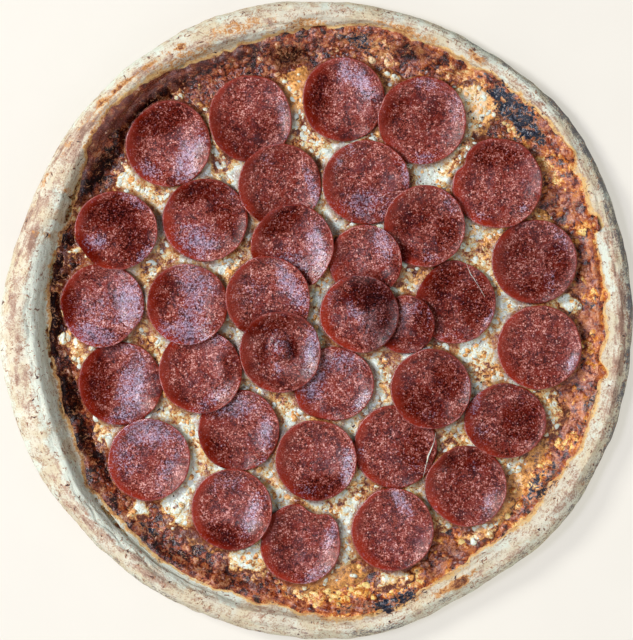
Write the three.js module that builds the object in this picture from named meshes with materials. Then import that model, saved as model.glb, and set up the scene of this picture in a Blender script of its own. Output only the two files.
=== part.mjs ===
// A whole pepperoni pizza: a leavened crust with a puffed, uneven rim, a thin layer of tomato sauce that
// climbs the foot of the rim, a layer of melted cheese, and 34 thin round slices of pepperoni that lie on the
// cheese and on each other. Millimetres, +Z up. The origin is in the flat underside, at the middle of the
// pizza, and clock angles are in degrees, counter-clockwise from +X.

import * as THREE from "three";

// ---- Driving dimensions ----

const SPOKES = 96; // points round the crust, the sauce and the edge of the cheese
const BASE_TOP = 4.5; // top of the flat dough inside the rim
const SAUCE_THICK = 1.05;
const CHEESE_THICK = 2.3;
const LAYER_GAP = 0.35; // air between layers that touch in the real food

// Every 20 degrees from +X: the outline, the line up to which sauce covers the inside of the rim, the height
// of that line, and the height of the rim's crest.
const OUTLINE = [
  152.5, 153.5, 156, 154, 154, 154.5, 152.5, 150.5, 148.5,
  152.5, 152.5, 151.5, 152, 152.5, 154.5, 150.5, 154, 153.5,
];
const TOPPING_LINE = [
  139, 141.5, 146.5, 143.5, 143.5, 138, 138.5, 136, 129.5,
  130, 130, 137, 140, 140.5, 144.5, 137, 138, 139.5,
];
const TOPPING_HEIGHT = [
  8.5, 9, 10.5, 10.5, 10, 10, 11.5, 11.5, 8.5,
  8.5, 9, 10.5, 10.5, 9.5, 9.5, 9, 9, 9,
];
const CREST_HEIGHT = [14, 13, 13, 14, 15.5, 18, 21, 22.5, 22, 22, 22, 20, 18, 16, 14.5, 17, 17, 15];

// The rim's profile, from the table up the outer side to the crest, and from the crest down the inner side.
// Each point is [share of the way from the topping line out to the outline, share of the way up to the crest].
const RIM_OUTSIDE = [[0.99, 0.34], [0.97, 0.66], [0.8, 0.9], [0.55, 1]];
const RIM_INSIDE = [[0.3, 0.88], [0.12, 0.45]];
const FOOT_INSET = 9; // from the outline in to where the underside leaves the table
const HEEL_INSET = 3.2; // from the outline in to the rounded heel
const HEEL_HEIGHT = 0.09; // as a share of the crest's height

const FLAT_INSET = 13; // from the topping line in to where the base is flat
const WALL_CURVE = 1.6; // how hollow the dough's wall is below the topping line
const CHEESE_INSET = 7.5; // from the topping line in to the edge of the cheese
const CHEESE_EDGE_THICK = 0.9;
const CHEESE_RIDGE = 0.2; // how much higher the cheese is near its edge
const CHEESE_RINGS = [[80, 0.78], [64, 0.64], [48, 0.5], [32, 0.34], [16, 0.17]]; // [points, radius share]
const SAUCE_SHOULDER_INSET = 3; // from the topping line in to where the sauce is thickest
const SAUCE_SHOULDER_THICK = 1.6;
const SAUCE_LIP_INSET = 0.3;
const SAUCE_LIP_THICK = 0.7;

// Unevenness, as layers of [height, size across, seed].
const RIM_WANDER = [[0.5, 26, 5]];
const RIM_SWELL = [[1.1, 31, 11], [0.7, 15, 17]];
const CHEESE_WANDER = [[2.4, 17, 3]];
const CHEESE_SWELL = [[0.75, 27, 31], [0.45, 13, 37]];
const SAUCE_SWELL = [[0.6, 12, 23]];
const CURL_UNEVEN = [[0.3, 20, 41]];

const SLICE_THICK = 1.5;
const SLICE_SPOKES = 8; // points in a slice's first ring, with twice and three times as many further out
const SLICE_RINGS = [0.4, 0.74, 1];
const SLICE_DRAPE = 10; // rounds of smoothing: more of them make a stiffer slice
const SLICE_REACH = 3; // how far round a point its support is felt
const REST_GAP = 0.4; // air under a slice
const CURL_FROM = 0.45; // share of the radius where the edge starts to curl up
const CURL_CURVE = 1.6;
const PRESSED_WITHIN = 4; // a slice is pressed flat out to this far from one that lies on it
const NUB_RADIUS = 5; // of the knob in the middle of a slice that has one
const MAP_HALF = 160; // the height map that slices are laid on
const MAP_CELL = 1;
const CLEAR_ROUNDS = 40;

// The slices in the order they were laid, lowest first. lay is [clock angle, distance from the middle,
// radius, curl of the edge]. Each bend of the outline is [clock angle, half width in degrees, how far it goes
// out or in]. oval is the share of the radius by which a slice is longer along the clock angle turn.
const SLICES = [
  { lay: [130, 111, 21, 3], bends: [[137, 34, -1.6]] },
  { lay: [83, 107, 20.4, 2.6], bends: [[185, 25, -0.8]] },
  { lay: [198, 99, 20.4, 2.6] },
  { lay: [235, 65, 19.8, 2.8] },
  { lay: [266, 108, 19.7, 2.6], bends: [[68, 17, -4.2], [35, 14, 0.8]] },
  { lay: [7, 67.5, 19.8, 2.4], bends: [[98, 16, 1.2], [150, 22, -0.8]] },
  { lay: [302, 72, 20.2, 2] },
  { lay: [312, 108, 19.9, 3], bends: [[235, 22, -1.2], [130, 20, -1]] },
  { lay: [286, 32, 18.6, 2.2], oval: 0.04, bends: [[216, 24, 1.6]] },
  { lay: [15, 109, 20.6, 2] },
  { lay: [37, 109.5, 22, 1.5], bends: [[150, 14, -3.2]] },
  { lay: [220, 105, 20.1, 1.5], bends: [[320, 25, -0.7]] },
  { lay: [270, 67.5, 19.8, 2.8], bends: [[80, 16, -0.8]] },
  { lay: [290, 107.5, 20.2, 2], bends: [[140, 24, -1]] },
  { lay: [108, 102, 20.8, 2.8], oval: 0.03, turn: 90 },
  { lay: [138, 72, 20.4, 2.6], oval: 0.015 },
  { lay: [62, 109, 21.4, 2.2] },
  { lay: [176, 103.5, 20.5, 2.2], bends: [[200, 22, -1.4], [322, 16, -1.2]] },
  { lay: [204, 61, 20.4, 2.6] },
  { lay: [332, 103, 19.2, 2.6], oval: 0.05, turn: -10, bends: [[135, 25, -1]] },
  { lay: [357, 43, 14.3, 2] },
  { lay: [105, 67, 20.3, 2.6] },
  { lay: [70, 70.5, 20.8, 2.6], oval: 0.02 },
  { lay: [156, 105.5, 19.7, 3], oval: 0.03, bends: [[215, 22, -1.2]] },
  { lay: [173, 62.5, 19.8, 2.2] },
  { lay: [246, 100, 19.8, 2.6] },
  { lay: [329, 64.5, 19.5, 2.4] },
  { lay: [353, 108.5, 20.5, 2] },
  { lay: [41, 69, 19.9, 2.6] },
  { lay: [50, 37, 17.8, 2] },
  { lay: [108, 37.5, 20.2, 2.6], bends: [[300, 16, 1.2], [145, 20, -1]] },
  { lay: [8, 21, 19.2, 1], bends: [[240, 24, -1.2]] },
  { lay: [156, 25.5, 20.4, 2.6], bends: [[330, 14, 1]] },
  { lay: [222, 23, 19.8, 2.4], nub: 1.8 },
];

// ---- Curves and lumps ----

const { lerp, smoothstep, degToRad, radToDeg, euclideanModulo } = THREE.MathUtils;

// A smooth closed curve through values that are evenly spaced round the clock from +X.
function clockCurve(values) {
  const n = values.length;
  return (degrees) => {
    const place = (euclideanModulo(degrees, 360) / 360) * n;
    const i = Math.floor(place);
    const t = place - i;
    const [a, b, c, d] = [-1, 0, 1, 2].map((k) => values[(i + k + n) % n]);
    return b + 0.5 * t * (c - a + t * (2 * a - 5 * b + 4 * c - d + t * (3 * (b - c) + d - a)));
  };
}

const outline = clockCurve(OUTLINE);
const toppingLine = clockCurve(TOPPING_LINE);
const toppingHeight = clockCurve(TOPPING_HEIGHT);
const crestHeight = clockCurve(CREST_HEIGHT);

// A fixed random number from 0 to 1 for a cell of a grid.
function hash(i, j, seed) {
  const s = Math.sin(i * 127.1 + j * 311.7 + seed * 74.7) * 43758.5453;
  return s - Math.floor(s);
}

// Smooth lumps about size across, from -1 to 1.
function lumps(x, y, size, seed) {
  const [i, j] = [Math.floor(x / size), Math.floor(y / size)];
  const [u, v] = [smoothstep(x / size - i, 0, 1), smoothstep(y / size - j, 0, 1)];
  const low = lerp(hash(i, j, seed), hash(i + 1, j, seed), u);
  const high = lerp(hash(i, j + 1, seed), hash(i + 1, j + 1, seed), u);
  return 2 * lerp(low, high, v) - 1;
}

const uneven = (p, layers, shift = 0) =>
  layers.reduce((sum, [height, size, seed]) => sum + height * lumps(p.x, p.y, size, seed + shift), 0);

const onClock = (degrees, r, z) =>
  new THREE.Vector3(r * Math.cos(degToRad(degrees)), r * Math.sin(degToRad(degrees)), z);

// ---- Bodies made of rings ----

// A ring of count points, where radius and height are functions of the clock angle.
function ring(count, radius, height) {
  return Array.from({ length: count }, (_, i) => {
    const degrees = (360 * i) / count;
    return onClock(degrees, radius(degrees), height(degrees));
  });
}

const pole = (z) => [new THREE.Vector3(0, 0, z)];

// The triangles between two rings, which may have different numbers of points. a comes first on the way from
// the middle of the underside, round the edge, to the middle of the top.
function band(a, b) {
  const corners = [];
  const [m, n] = [a.length, b.length];
  const [turnsA, turnsB] = [m > 1 ? m : 0, n > 1 ? n : 0];
  let [i, j] = [0, 0];
  while (i < turnsA || j < turnsB) {
    const stepA = j >= turnsB || (i < turnsA && (i + 1) / m <= (j + 1) / n);
    if (stepA) {
      corners.push(a[i % m], a[(i + 1) % m], b[j % n]);
      i += 1;
    } else {
      corners.push(a[i % m], b[(j + 1) % n], b[j % n]);
      j += 1;
    }
  }
  return corners;
}

// Rings from the middle of the underside out to the edge and back over the top, as triangles of three points.
function skin(rings) {
  const corners = rings.slice(1).flatMap((next, i) => band(rings[i], next));
  return Array.from({ length: corners.length / 3 }, (_, k) => corners.slice(3 * k, 3 * k + 3));
}

function bodyMesh(name, rings, finish) {
  const mesh = new THREE.Mesh(new THREE.BufferGeometry().setFromPoints(skin(rings).flat()), finish);
  mesh.geometry.computeVertexNormals();
  mesh.name = name;
  return mesh;
}

// ---- The height of what a slice can lie on ----

class HeightMap {
  constructor(halfSide, cell) {
    this.cell = cell;
    this.half = Math.ceil(halfSide / cell);
    this.side = 2 * this.half + 1;
    this.z = new Float32Array(this.side ** 2).fill(-Infinity);
  }

  // Calls visit(i, j, z) for each grid point under or over a triangle.
  along([a, b, c], visit) {
    const area = (b.x - a.x) * (c.y - a.y) - (c.x - a.x) * (b.y - a.y);
    if (area === 0) return;
    const span = (key) => {
      const values = [a, b, c].map((p) => p[key] / this.cell);
      return [Math.ceil(Math.min(...values)), Math.floor(Math.max(...values))];
    };
    const [[i0, i1], [j0, j1]] = [span("x"), span("y")];
    for (let i = i0; i <= i1; i++) {
      for (let j = j0; j <= j1; j++) {
        const [x, y] = [i * this.cell - a.x, j * this.cell - a.y];
        const u = (x * (c.y - a.y) - (c.x - a.x) * y) / area;
        const v = ((b.x - a.x) * y - x * (b.y - a.y)) / area;
        if (u >= 0 && v >= 0 && u + v <= 1) visit(i, j, a.z + u * (b.z - a.z) + v * (c.z - a.z));
      }
    }
  }

  index(i, j) {
    return (j + this.half) * this.side + i + this.half;
  }

  // Raises the map to the triangles of a body.
  stamp(faces) {
    const raise = (i, j, z) => {
      const at = this.index(i, j);
      this.z[at] = Math.max(this.z[at], z);
    };
    faces.forEach((face) => this.along(face, raise));
  }

  // The highest point of the map within reach of a place.
  highest(x, y, reach) {
    let top = -Infinity;
    const [i0, i1] = [Math.ceil((x - reach) / this.cell), Math.floor((x + reach) / this.cell)];
    const [j0, j1] = [Math.ceil((y - reach) / this.cell), Math.floor((y + reach) / this.cell)];
    for (let i = i0; i <= i1; i++) {
      for (let j = j0; j <= j1; j++) {
        const near = Math.hypot(i * this.cell - x, j * this.cell - y) <= reach;
        if (near) top = Math.max(top, this.z[this.index(i, j)]);
      }
    }
    return top;
  }
}

// ---- Crust ----

// The surface of the dough from the flat base up to the topping line, by distance in from that line.
function doughHeight(degrees, distance) {
  const t = 1 - distance / FLAT_INSET;
  return BASE_TOP + (toppingHeight(degrees) - BASE_TOP) * t ** WALL_CURVE;
}

const inset = (distance) => (degrees) => toppingLine(degrees) - distance;

// One ring of the rim, at a point of its profile. base is the height from which up is measured. The shift
// makes each ring's unevenness its own.
function rimRing([across, up], base) {
  const radius = (d) => {
    const wander = uneven(onClock(d, outline(d), 0), RIM_WANDER, across);
    return lerp(toppingLine(d), outline(d), across) + wander;
  };
  const height = (d) => {
    const swell = uneven(onClock(d, outline(d), 0), RIM_SWELL, up);
    return lerp(base(d), crestHeight(d), up) + up * swell;
  };
  return ring(SPOKES, radius, height);
}

function makeCrust() {
  const table = () => 0;
  return [
    pole(0),
    ring(SPOKES, (d) => outline(d) - FOOT_INSET, table),
    ring(SPOKES, (d) => outline(d) - HEEL_INSET, (d) => HEEL_HEIGHT * crestHeight(d)),
    ...RIM_OUTSIDE.map((point) => rimRing(point, table)),
    ...RIM_INSIDE.map((point) => rimRing(point, toppingHeight)),
    ring(SPOKES, toppingLine, toppingHeight),
    ring(SPOKES, inset(SAUCE_SHOULDER_INSET), (d) => doughHeight(d, SAUCE_SHOULDER_INSET)),
    ring(SPOKES, cheeseEdge, (d) => doughHeight(d, cheeseInset(d))),
    ring(SPOKES, inset(FLAT_INSET), () => BASE_TOP),
    pole(BASE_TOP),
  ];
}

// ---- Sauce and cheese ----

const SAUCE_FLOOR = BASE_TOP + LAYER_GAP;
const SAUCE_TOP = SAUCE_FLOOR + SAUCE_THICK;
const CHEESE_FLOOR = SAUCE_TOP + LAYER_GAP;
const CHEESE_TOP = CHEESE_FLOOR + CHEESE_THICK;

function cheeseInset(degrees) {
  return CHEESE_INSET + uneven(onClock(degrees, toppingLine(degrees), 0), CHEESE_WANDER);
}

function cheeseEdge(degrees) {
  return toppingLine(degrees) - cheeseInset(degrees);
}

function sauceTopAtCheese(degrees) {
  return doughHeight(degrees, cheeseInset(degrees)) + LAYER_GAP + SAUCE_THICK;
}

function makeSauce() {
  const over = (distance, lift) => (d) => doughHeight(d, distance) + LAYER_GAP + lift;
  const shoulder = (d) => {
    const swell = uneven(onClock(d, toppingLine(d), 0), SAUCE_SWELL);
    return over(SAUCE_SHOULDER_INSET, SAUCE_SHOULDER_THICK)(d) + swell;
  };
  return [
    pole(SAUCE_FLOOR),
    ring(SPOKES, inset(FLAT_INSET), () => SAUCE_FLOOR),
    ring(SPOKES, cheeseEdge, (d) => doughHeight(d, cheeseInset(d)) + LAYER_GAP),
    ring(SPOKES, inset(SAUCE_SHOULDER_INSET), over(SAUCE_SHOULDER_INSET, 0)),
    ring(SPOKES, inset(SAUCE_LIP_INSET), over(SAUCE_LIP_INSET, 0)),
    ring(SPOKES, inset(2 * SAUCE_LIP_INSET), over(2 * SAUCE_LIP_INSET, SAUCE_LIP_THICK)),
    ring(SPOKES, inset(SAUCE_SHOULDER_INSET), shoulder),
    ring(SPOKES, cheeseEdge, sauceTopAtCheese),
    ring(SPOKES, inset(FLAT_INSET), () => SAUCE_TOP),
    pole(SAUCE_TOP),
  ];
}

function makeCheese() {
  const cheeseTop = (degrees, radius) => CHEESE_TOP + uneven(onClock(degrees, radius, 0), CHEESE_SWELL);
  const floorAtEdge = (d) => sauceTopAtCheese(d) + LAYER_GAP;
  const topRing = ([points, share]) => {
    const radius = (d) => share * cheeseEdge(d);
    return ring(points, radius, (d) => cheeseTop(d, radius(d)));
  };
  return [
    pole(CHEESE_FLOOR),
    ring(SPOKES, inset(FLAT_INSET), () => CHEESE_FLOOR),
    ring(SPOKES, cheeseEdge, floorAtEdge),
    ring(SPOKES, cheeseEdge, (d) => floorAtEdge(d) + CHEESE_EDGE_THICK),
    ring(SPOKES, inset(FLAT_INSET), (d) => cheeseTop(d, inset(FLAT_INSET)(d)) + CHEESE_RIDGE),
    ...CHEESE_RINGS.map(topRing),
    pole(CHEESE_TOP),
  ];
}

// ---- Pepperoni ----

const turnBetween = (a, b) => euclideanModulo(a - b + 180, 360) - 180;

// The radius of a slice's outline at a clock angle about its own middle.
function sliceRadius({ lay: [, , radius], oval = 0, turn = 0, bends = [] }, degrees) {
  const stretch = 1 + oval * Math.cos(degToRad(2 * (degrees - turn)));
  const bent = bends.reduce((sum, [at, halfWidth, far]) => {
    return sum + far * Math.exp(-((turnBetween(degrees, at) / halfWidth) ** 2));
  }, 0);
  return radius * stretch + bent;
}

const sliceMiddle = ({ lay: [degrees, distance] }) => onClock(degrees, distance, 0);

// How far inside a slice's outline a point is in plan. It is negative outside.
function depthInside(slice, point) {
  const middle = sliceMiddle(slice);
  const [x, y] = [point.x - middle.x, point.y - middle.y];
  return sliceRadius(slice, radToDeg(Math.atan2(y, x))) - Math.hypot(x, y);
}

// 1 where nothing lies on a slice, falling to 0 where a later slice presses it down.
function freeToCurl(point, later) {
  const deepest = Math.max(-PRESSED_WITHIN, ...later.map((slice) => depthInside(slice, point)));
  return 1 - smoothstep(deepest, -PRESSED_WITHIN, 0);
}

// The rings of a slice's underside, still flat.
function slicePlan(slice) {
  const middle = sliceMiddle(slice);
  const rings = SLICE_RINGS.map((share, k) => {
    const edge = (d) => share * sliceRadius(slice, d);
    return ring(SLICE_SPOKES * (k + 1), edge, () => 0).map((p) => p.add(middle));
  });
  return [[middle.clone()], ...rings];
}

function neighboursOf(rings) {
  const beside = new Map(rings.flat().map((p) => [p, new Set()]));
  skin(rings).forEach((face) => {
    face.forEach((p) => face.filter((q) => q !== p).forEach((q) => beside.get(p).add(q)));
  });
  return beside;
}

// Lets a slice sag onto what is below it, as something supple that bridges small hollows.
function drape(rings, heap) {
  const beside = neighboursOf(rings);
  const floor = new Map(rings.flat().map((p) => [p, heap.highest(p.x, p.y, SLICE_REACH) + REST_GAP]));
  floor.forEach((z, p) => p.setZ(z));
  for (let round = 0; round < SLICE_DRAPE; round++) {
    const next = [...beside].map(([p, around]) => {
      const mean = [...around].reduce((sum, q) => sum + q.z, 0) / around.size;
      return [p, Math.max(floor.get(p), mean)];
    });
    next.forEach(([p, z]) => p.setZ(z));
  }
}

// Curls a slice's edge up into a shallow cup, except where a later slice lies on it.
function curl(slice, rings, later) {
  const [, , , lift] = slice.lay;
  rings.forEach((points, k) => {
    const share = k ? SLICE_RINGS[k - 1] : 0;
    const rise = Math.max(0, (share - CURL_FROM) / (1 - CURL_FROM)) ** CURL_CURVE;
    points.forEach((p) => {
      p.z += lift * (1 + uneven(p, CURL_UNEVEN)) * rise * freeToCurl(p, later);
    });
  });
}

function raiseNub(slice, rings) {
  const middle = sliceMiddle(slice);
  rings.flat().forEach((p) => {
    const away = Math.hypot(p.x - middle.x, p.y - middle.y);
    p.z += (slice.nub ?? 0) * Math.exp(-((away / NUB_RADIUS) ** 2));
  });
}

// Raises points until no facet of the underside comes nearer than REST_GAP to what is below it.
function clear(rings, heap) {
  const faces = skin(rings);
  for (let round = 0, moved = true; moved && round < CLEAR_ROUNDS; round++) {
    moved = false;
    faces.forEach((face) => {
      let short = 0;
      heap.along(face, (i, j, z) => {
        const below = heap.highest(i * heap.cell, j * heap.cell, 1.5 * heap.cell);
        short = Math.max(short, below + REST_GAP - z);
      });
      if (short > 1e-3) {
        face.forEach((p) => p.setZ(p.z + short));
        moved = true;
      }
    });
  }
}

function makeSlice(slice, later, heap) {
  const under = slicePlan(slice);
  drape(under, heap);
  curl(slice, under, later);
  raiseNub(slice, under);
  clear(under, heap);
  const over = under.map((points) => points.map((p) => p.clone().setZ(p.z + SLICE_THICK)));
  return [...under, ...over.reverse()];
}

// ---- The pizza ----

const material = (colour, roughness) =>
  new THREE.MeshStandardMaterial({ color: colour, roughness, metalness: 0 });

const crustFinish = material(0xd9c7a2, 0.85);
const sauceFinish = material(0x6e2a1b, 0.5);
const cheeseFinish = material(0xe3dcc0, 0.45);
const sliceFinish = material(0x7c3b33, 0.4);

const pizza = new THREE.Group();
const heap = new HeightMap(MAP_HALF, MAP_CELL);

function place(name, rings, finish) {
  pizza.add(bodyMesh(name, rings, finish));
  heap.stamp(skin(rings));
}

place("crust", makeCrust(), crustFinish);
place("sauce", makeSauce(), sauceFinish);
place("cheese", makeCheese(), cheeseFinish);
SLICES.forEach((slice, i) => {
  const name = "pepperoni_" + String(i + 1).padStart(2, "0");
  place(name, makeSlice(slice, SLICES.slice(i + 1), heap), sliceFinish);
});

export default pizza;
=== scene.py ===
"""A pepperoni pizza, seen from straight above: blistered crust, sauce, melted cheese and 34 slices.

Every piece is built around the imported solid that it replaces, in the same frame. Lengths are in
millimetres and angles in degrees counterclockwise from +X, up to the point where a mesh is made.
Every noise, list of patches and random draw has a seed: the whole number that follows its size, its
list, its squash or its count.
"""

import functools
import math

import bmesh
import bpy
import numpy as np
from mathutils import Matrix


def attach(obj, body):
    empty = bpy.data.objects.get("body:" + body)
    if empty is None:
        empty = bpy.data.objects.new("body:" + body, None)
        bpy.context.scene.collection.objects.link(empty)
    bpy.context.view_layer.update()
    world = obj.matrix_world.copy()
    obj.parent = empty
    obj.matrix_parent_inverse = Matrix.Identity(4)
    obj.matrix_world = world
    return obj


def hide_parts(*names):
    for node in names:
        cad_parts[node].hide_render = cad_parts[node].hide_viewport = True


MM = 0.001

# The photograph is 633 by 640 pixels of 0.4826 mm, and the pizza's middle is at pixel 316, 320.
VIEW_HEIGHT = 308.9
VIEW_MIDDLE = (0.24, 0.0)
CAMERA_HEIGHT = 2200
TOPPING_LEVEL = 10
SENSOR = 36
VIEW_DEPTH_M = 20

SLICE_COUNT = 34
SLICE_THICK = 1.5
RIM_RADIUS = 150

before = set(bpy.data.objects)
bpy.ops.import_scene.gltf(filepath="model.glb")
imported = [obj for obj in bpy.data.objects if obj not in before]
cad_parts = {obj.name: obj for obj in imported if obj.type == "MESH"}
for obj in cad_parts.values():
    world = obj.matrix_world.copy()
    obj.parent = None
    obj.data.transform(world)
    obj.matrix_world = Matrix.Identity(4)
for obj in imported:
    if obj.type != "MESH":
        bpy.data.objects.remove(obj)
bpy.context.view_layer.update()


# ---------------------------------------------------------------- camera, light and floor

DAYLIGHT = (1.0, 0.99, 0.97)
SKYLIGHT = (0.8, 0.8, 1.0)
# Squares of soft light: (name, angle round the pizza, angle above the floor, size, distance, watts, colour).
LIGHTS = [
    ("window", 157, 42, 520, 2100, 37, DAYLIGHT), ("high_window", 180, 65, 430, 2100, 21, SKYLIGHT),
    ("wall_10", 10, 38, 1300, 1900, 4.0, DAYLIGHT), ("wall_250", 250, 38, 1300, 1900, 7.6, DAYLIGHT),
    ("wall_318", 318, 38, 1300, 1900, 6.5, DAYLIGHT),
]
CEILING_COLOUR = (0.93, 0.96, 1, 1)
CEILING_STRENGTH = 0.15
FLOOR_HALF = 3000
FLOOR_LEVEL = -0.05


def make_camera():
    """Looks straight down, so that the photograph's frame is filled at the level of the toppings."""
    data = bpy.data.cameras.new("camera")
    data.sensor_width = SENSOR
    data.lens = SENSOR * (CAMERA_HEIGHT - TOPPING_LEVEL) / VIEW_HEIGHT
    data.clip_end = VIEW_DEPTH_M
    camera = bpy.data.objects.new("camera", data)
    camera.location = (VIEW_MIDDLE[0] * MM, VIEW_MIDDLE[1] * MM, CAMERA_HEIGHT * MM)
    bpy.context.scene.collection.objects.link(camera)
    bpy.context.scene.camera = camera


def srgb(red, green, blue):
    """A colour read from 0 to 255, as the linear colour that a shader takes."""
    values = np.array([red, green, blue]) / 255
    linear = np.where(values <= 0.04045, values / 12.92, ((values + 0.055) / 1.055) ** 2.4)
    return (*linear.tolist(), 1.0)


def make_light(name, clock, height, size, distance, power, colour):
    """A square of soft light that faces the pizza from one side."""
    data = bpy.data.lights.new(name, "AREA")
    data.shape = "SQUARE"
    data.size = size * MM
    data.energy = power
    data.color = colour
    light = bpy.data.objects.new(name, data)
    lean, side = math.radians(height), math.radians(clock)
    across = math.cos(lean) * distance * MM
    light.location = (across * math.cos(side), across * math.sin(side), math.sin(lean) * distance * MM)
    light.rotation_euler = (math.radians(90 - height), 0, side + math.pi / 2)
    bpy.context.scene.collection.objects.link(light)


def make_surroundings():
    """A pale floor, windows to the upper left, pale walls round about and a dim ceiling."""
    scene = bpy.context.scene
    scene.view_settings.view_transform = "Standard"
    world = bpy.data.worlds.new("room")
    world.use_nodes = True
    background = world.node_tree.nodes["Background"]
    background.inputs["Color"].default_value = CEILING_COLOUR
    background.inputs["Strength"].default_value = CEILING_STRENGTH
    scene.world = world
    for light in LIGHTS:
        make_light(*light)

    side = FLOOR_HALF * MM
    mesh = bpy.data.meshes.new("floor")
    corners = [(-side, -side, 0), (side, -side, 0), (side, side, 0), (-side, side, 0)]
    mesh.from_pydata(corners, [], [(0, 1, 2, 3)])
    floor = bpy.data.objects.new("floor", mesh)
    floor.location.z = FLOOR_LEVEL * MM
    scene.collection.objects.link(floor)
    look = Look("floor_paper", roughness=0.9, emission_strength=0.55, emission_color=srgb(246, 242, 232))
    look.finish(look.ramp(look.noise(40), (0.3, (156, 153, 144)), (0.7, (158, 155, 146))))
    mesh.materials.append(look.material)


# ---------------------------------------------------------------- materials

# Noise strays by about a quarter either way from its middle of 0.5.
NOISE_SPREAD = 4


class Look:
    """A node material, with short ways to add what its colour, gloss and grain are made of.

    A colour is a socket, or its red, green and blue read from 0 to 255.
    """

    def __init__(self, name, **shader):
        self.material = bpy.data.materials.new(name)
        self.material.use_nodes = True
        self.tree = self.material.node_tree
        self.shader = self.tree.nodes["Principled BSDF"]
        for socket, value in shader.items():
            self.shader.inputs[socket.replace("_", " ").title()].default_value = value
        self.place = self.tree.nodes.new("ShaderNodeTexCoord").outputs["Object"]

    def add(self, kind, inputs, **settings):
        """A new node with its settings made and its inputs linked or set."""
        node = self.tree.nodes.new(kind)
        for name, value in settings.items():
            setattr(node, name, value)
        for socket, value in inputs.items():
            if isinstance(value, bpy.types.NodeSocket):
                self.tree.links.new(value, node.inputs[socket])
            else:
                node.inputs[socket].default_value = value
        return node

    def vector(self, operation, first, second):
        """Arithmetic on a place, with another place or, to scale it, with a number."""
        inputs = {0: first, "Scale" if operation == "SCALE" else 1: second}
        return self.add("ShaderNodeVectorMath", inputs, operation=operation).outputs[0]

    def number(self, operation, first, second):
        """Arithmetic on two numbers."""
        return self.add("ShaderNodeMath", {0: first, 1: second}, operation=operation).outputs[0]

    def total(self, *values):
        """The sum of numbers."""
        return functools.reduce(functools.partial(self.number, "ADD"), values)

    def times(self, first, second):
        """The product of two numbers."""
        return self.number("MULTIPLY", first, second)

    def noise(self, size, detail=3, roughness=0.55, warp=0.0, place=None):
        """Cloudy noise whose lumps are about size mm across."""
        node = self.add("ShaderNodeTexNoise", {
            "Vector": place or self.place, "Scale": 1 / (size * MM), "Detail": detail,
            "Roughness": roughness, "Distortion": warp})
        return node.outputs["Fac"]

    def streaks(self, length, width):
        """Noise drawn out along the rim, in streaks so long and so wide, in mm."""
        flat = self.vector("MULTIPLY", self.place, (1, 1, 0))
        way = self.add("ShaderNodeVectorMath", {0: flat}, operation="NORMALIZE").outputs[0]
        ring = self.vector("SCALE", way, RIM_RADIUS * MM * width / length)
        across = self.add("ShaderNodeCombineXYZ", {"Z": self.times(self.mask("across"), MM)}).outputs[0]
        return self.noise(width, 4, 0.6, place=self.vector("ADD", ring, across))

    def stray(self, size, reach):
        """The place, moved about by up to reach mm in swirls of a size, so that cells get uneven outlines."""
        inputs = {"Vector": self.place, "Scale": 1 / (size * MM), "Detail": 2}
        swirls = self.add("ShaderNodeTexNoise", inputs).outputs["Color"]
        centred = self.vector("SUBTRACT", swirls, (0.5, 0.5, 0.5))
        return self.vector("ADD", self.place, self.vector("SCALE", centred, NOISE_SPREAD * reach * MM))

    def cells(self, size, place):
        """The distance to the nearest of points about size mm apart, and a number of that point's own."""
        node = self.add("ShaderNodeTexVoronoi", {"Vector": place, "Scale": 1 / (size * MM)})
        own = self.add("ShaderNodeSeparateColor", {0: node.outputs["Color"]}).outputs[0]
        return node.outputs["Distance"], own

    def swing(self, value, reach):
        """Noise turned into a number from about -reach to reach."""
        return self.times(self.total(value, -0.5), NOISE_SPREAD * reach)

    def mask(self, name):
        """A number that the mesh holds at each of its points."""
        return self.add("ShaderNodeAttribute", {}, attribute_name=name).outputs["Fac"]

    def fade(self, value, low, high, start=0.0, end=1.0):
        """Turns a value between low and high smoothly into one between start and end."""
        inputs = {"Value": value, "From Min": low, "From Max": high, "To Min": start, "To Max": end}
        node = self.add("ShaderNodeMapRange", inputs, interpolation_type="SMOOTHSTEP", clamp=True)
        return node.outputs["Result"]

    def mix(self, amount, under, over, blend="MIX"):
        """Lays one colour over another by an amount."""
        under, over = (srgb(*colour) if isinstance(colour, tuple) else colour for colour in (under, over))
        inputs = {0: amount, 6: under, 7: over}
        return self.add("ShaderNodeMix", inputs, data_type="RGBA", blend_type=blend).outputs[2]

    def ramp(self, value, *stops):
        """A colour that runs smoothly through (value, colour) stops."""
        colour = stops[0][1]
        for (low, _), (high, over) in zip(stops, stops[1:]):
            colour = self.mix(self.fade(value, low, high), colour, over)
        return colour

    def lay(self, colour, value, *layers):
        """Lays colours over one another, each as the value rises: (low, high, colour, amount)."""
        for low, high, over, amount in layers:
            colour = self.mix(self.fade(value, low, high, 0, amount), colour, over)
        return colour

    def charred(self, colour):
        """Breaks the charred patches up into blue-black flakes with scorched brown between them."""
        char = self.total(self.mask("char"), self.swing(self.noise(2.6, 4, 0.62, 1.2), 0.85))
        return self.lay(colour, char, (0.3, 0.44, (168, 118, 82), 0.85), (0.5, 0.57, (70, 46, 44), 1),
                        (0.6, 0.65, (14, 25, 42), 1))

    def grain(self, *layers):
        """Bumps on bumps: (height, depth in mm), the coarsest first."""
        inputs = {}
        for height, depth in layers:
            inputs.update({"Height": height, "Distance": depth * MM, "Strength": 1.0})
            inputs["Normal"] = self.add("ShaderNodeBump", inputs).outputs["Normal"]
        return inputs["Normal"]

    def finish(self, colour, roughness=None, normal=None, shine=None):
        """Plugs the results into the shader."""
        results = {
            "Base Color": colour, "Roughness": roughness, "Normal": normal, "Specular IOR Level": shine}
        for socket, value in results.items():
            if value:
                self.tree.links.new(value, self.shader.inputs[socket])
        return self.material


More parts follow.
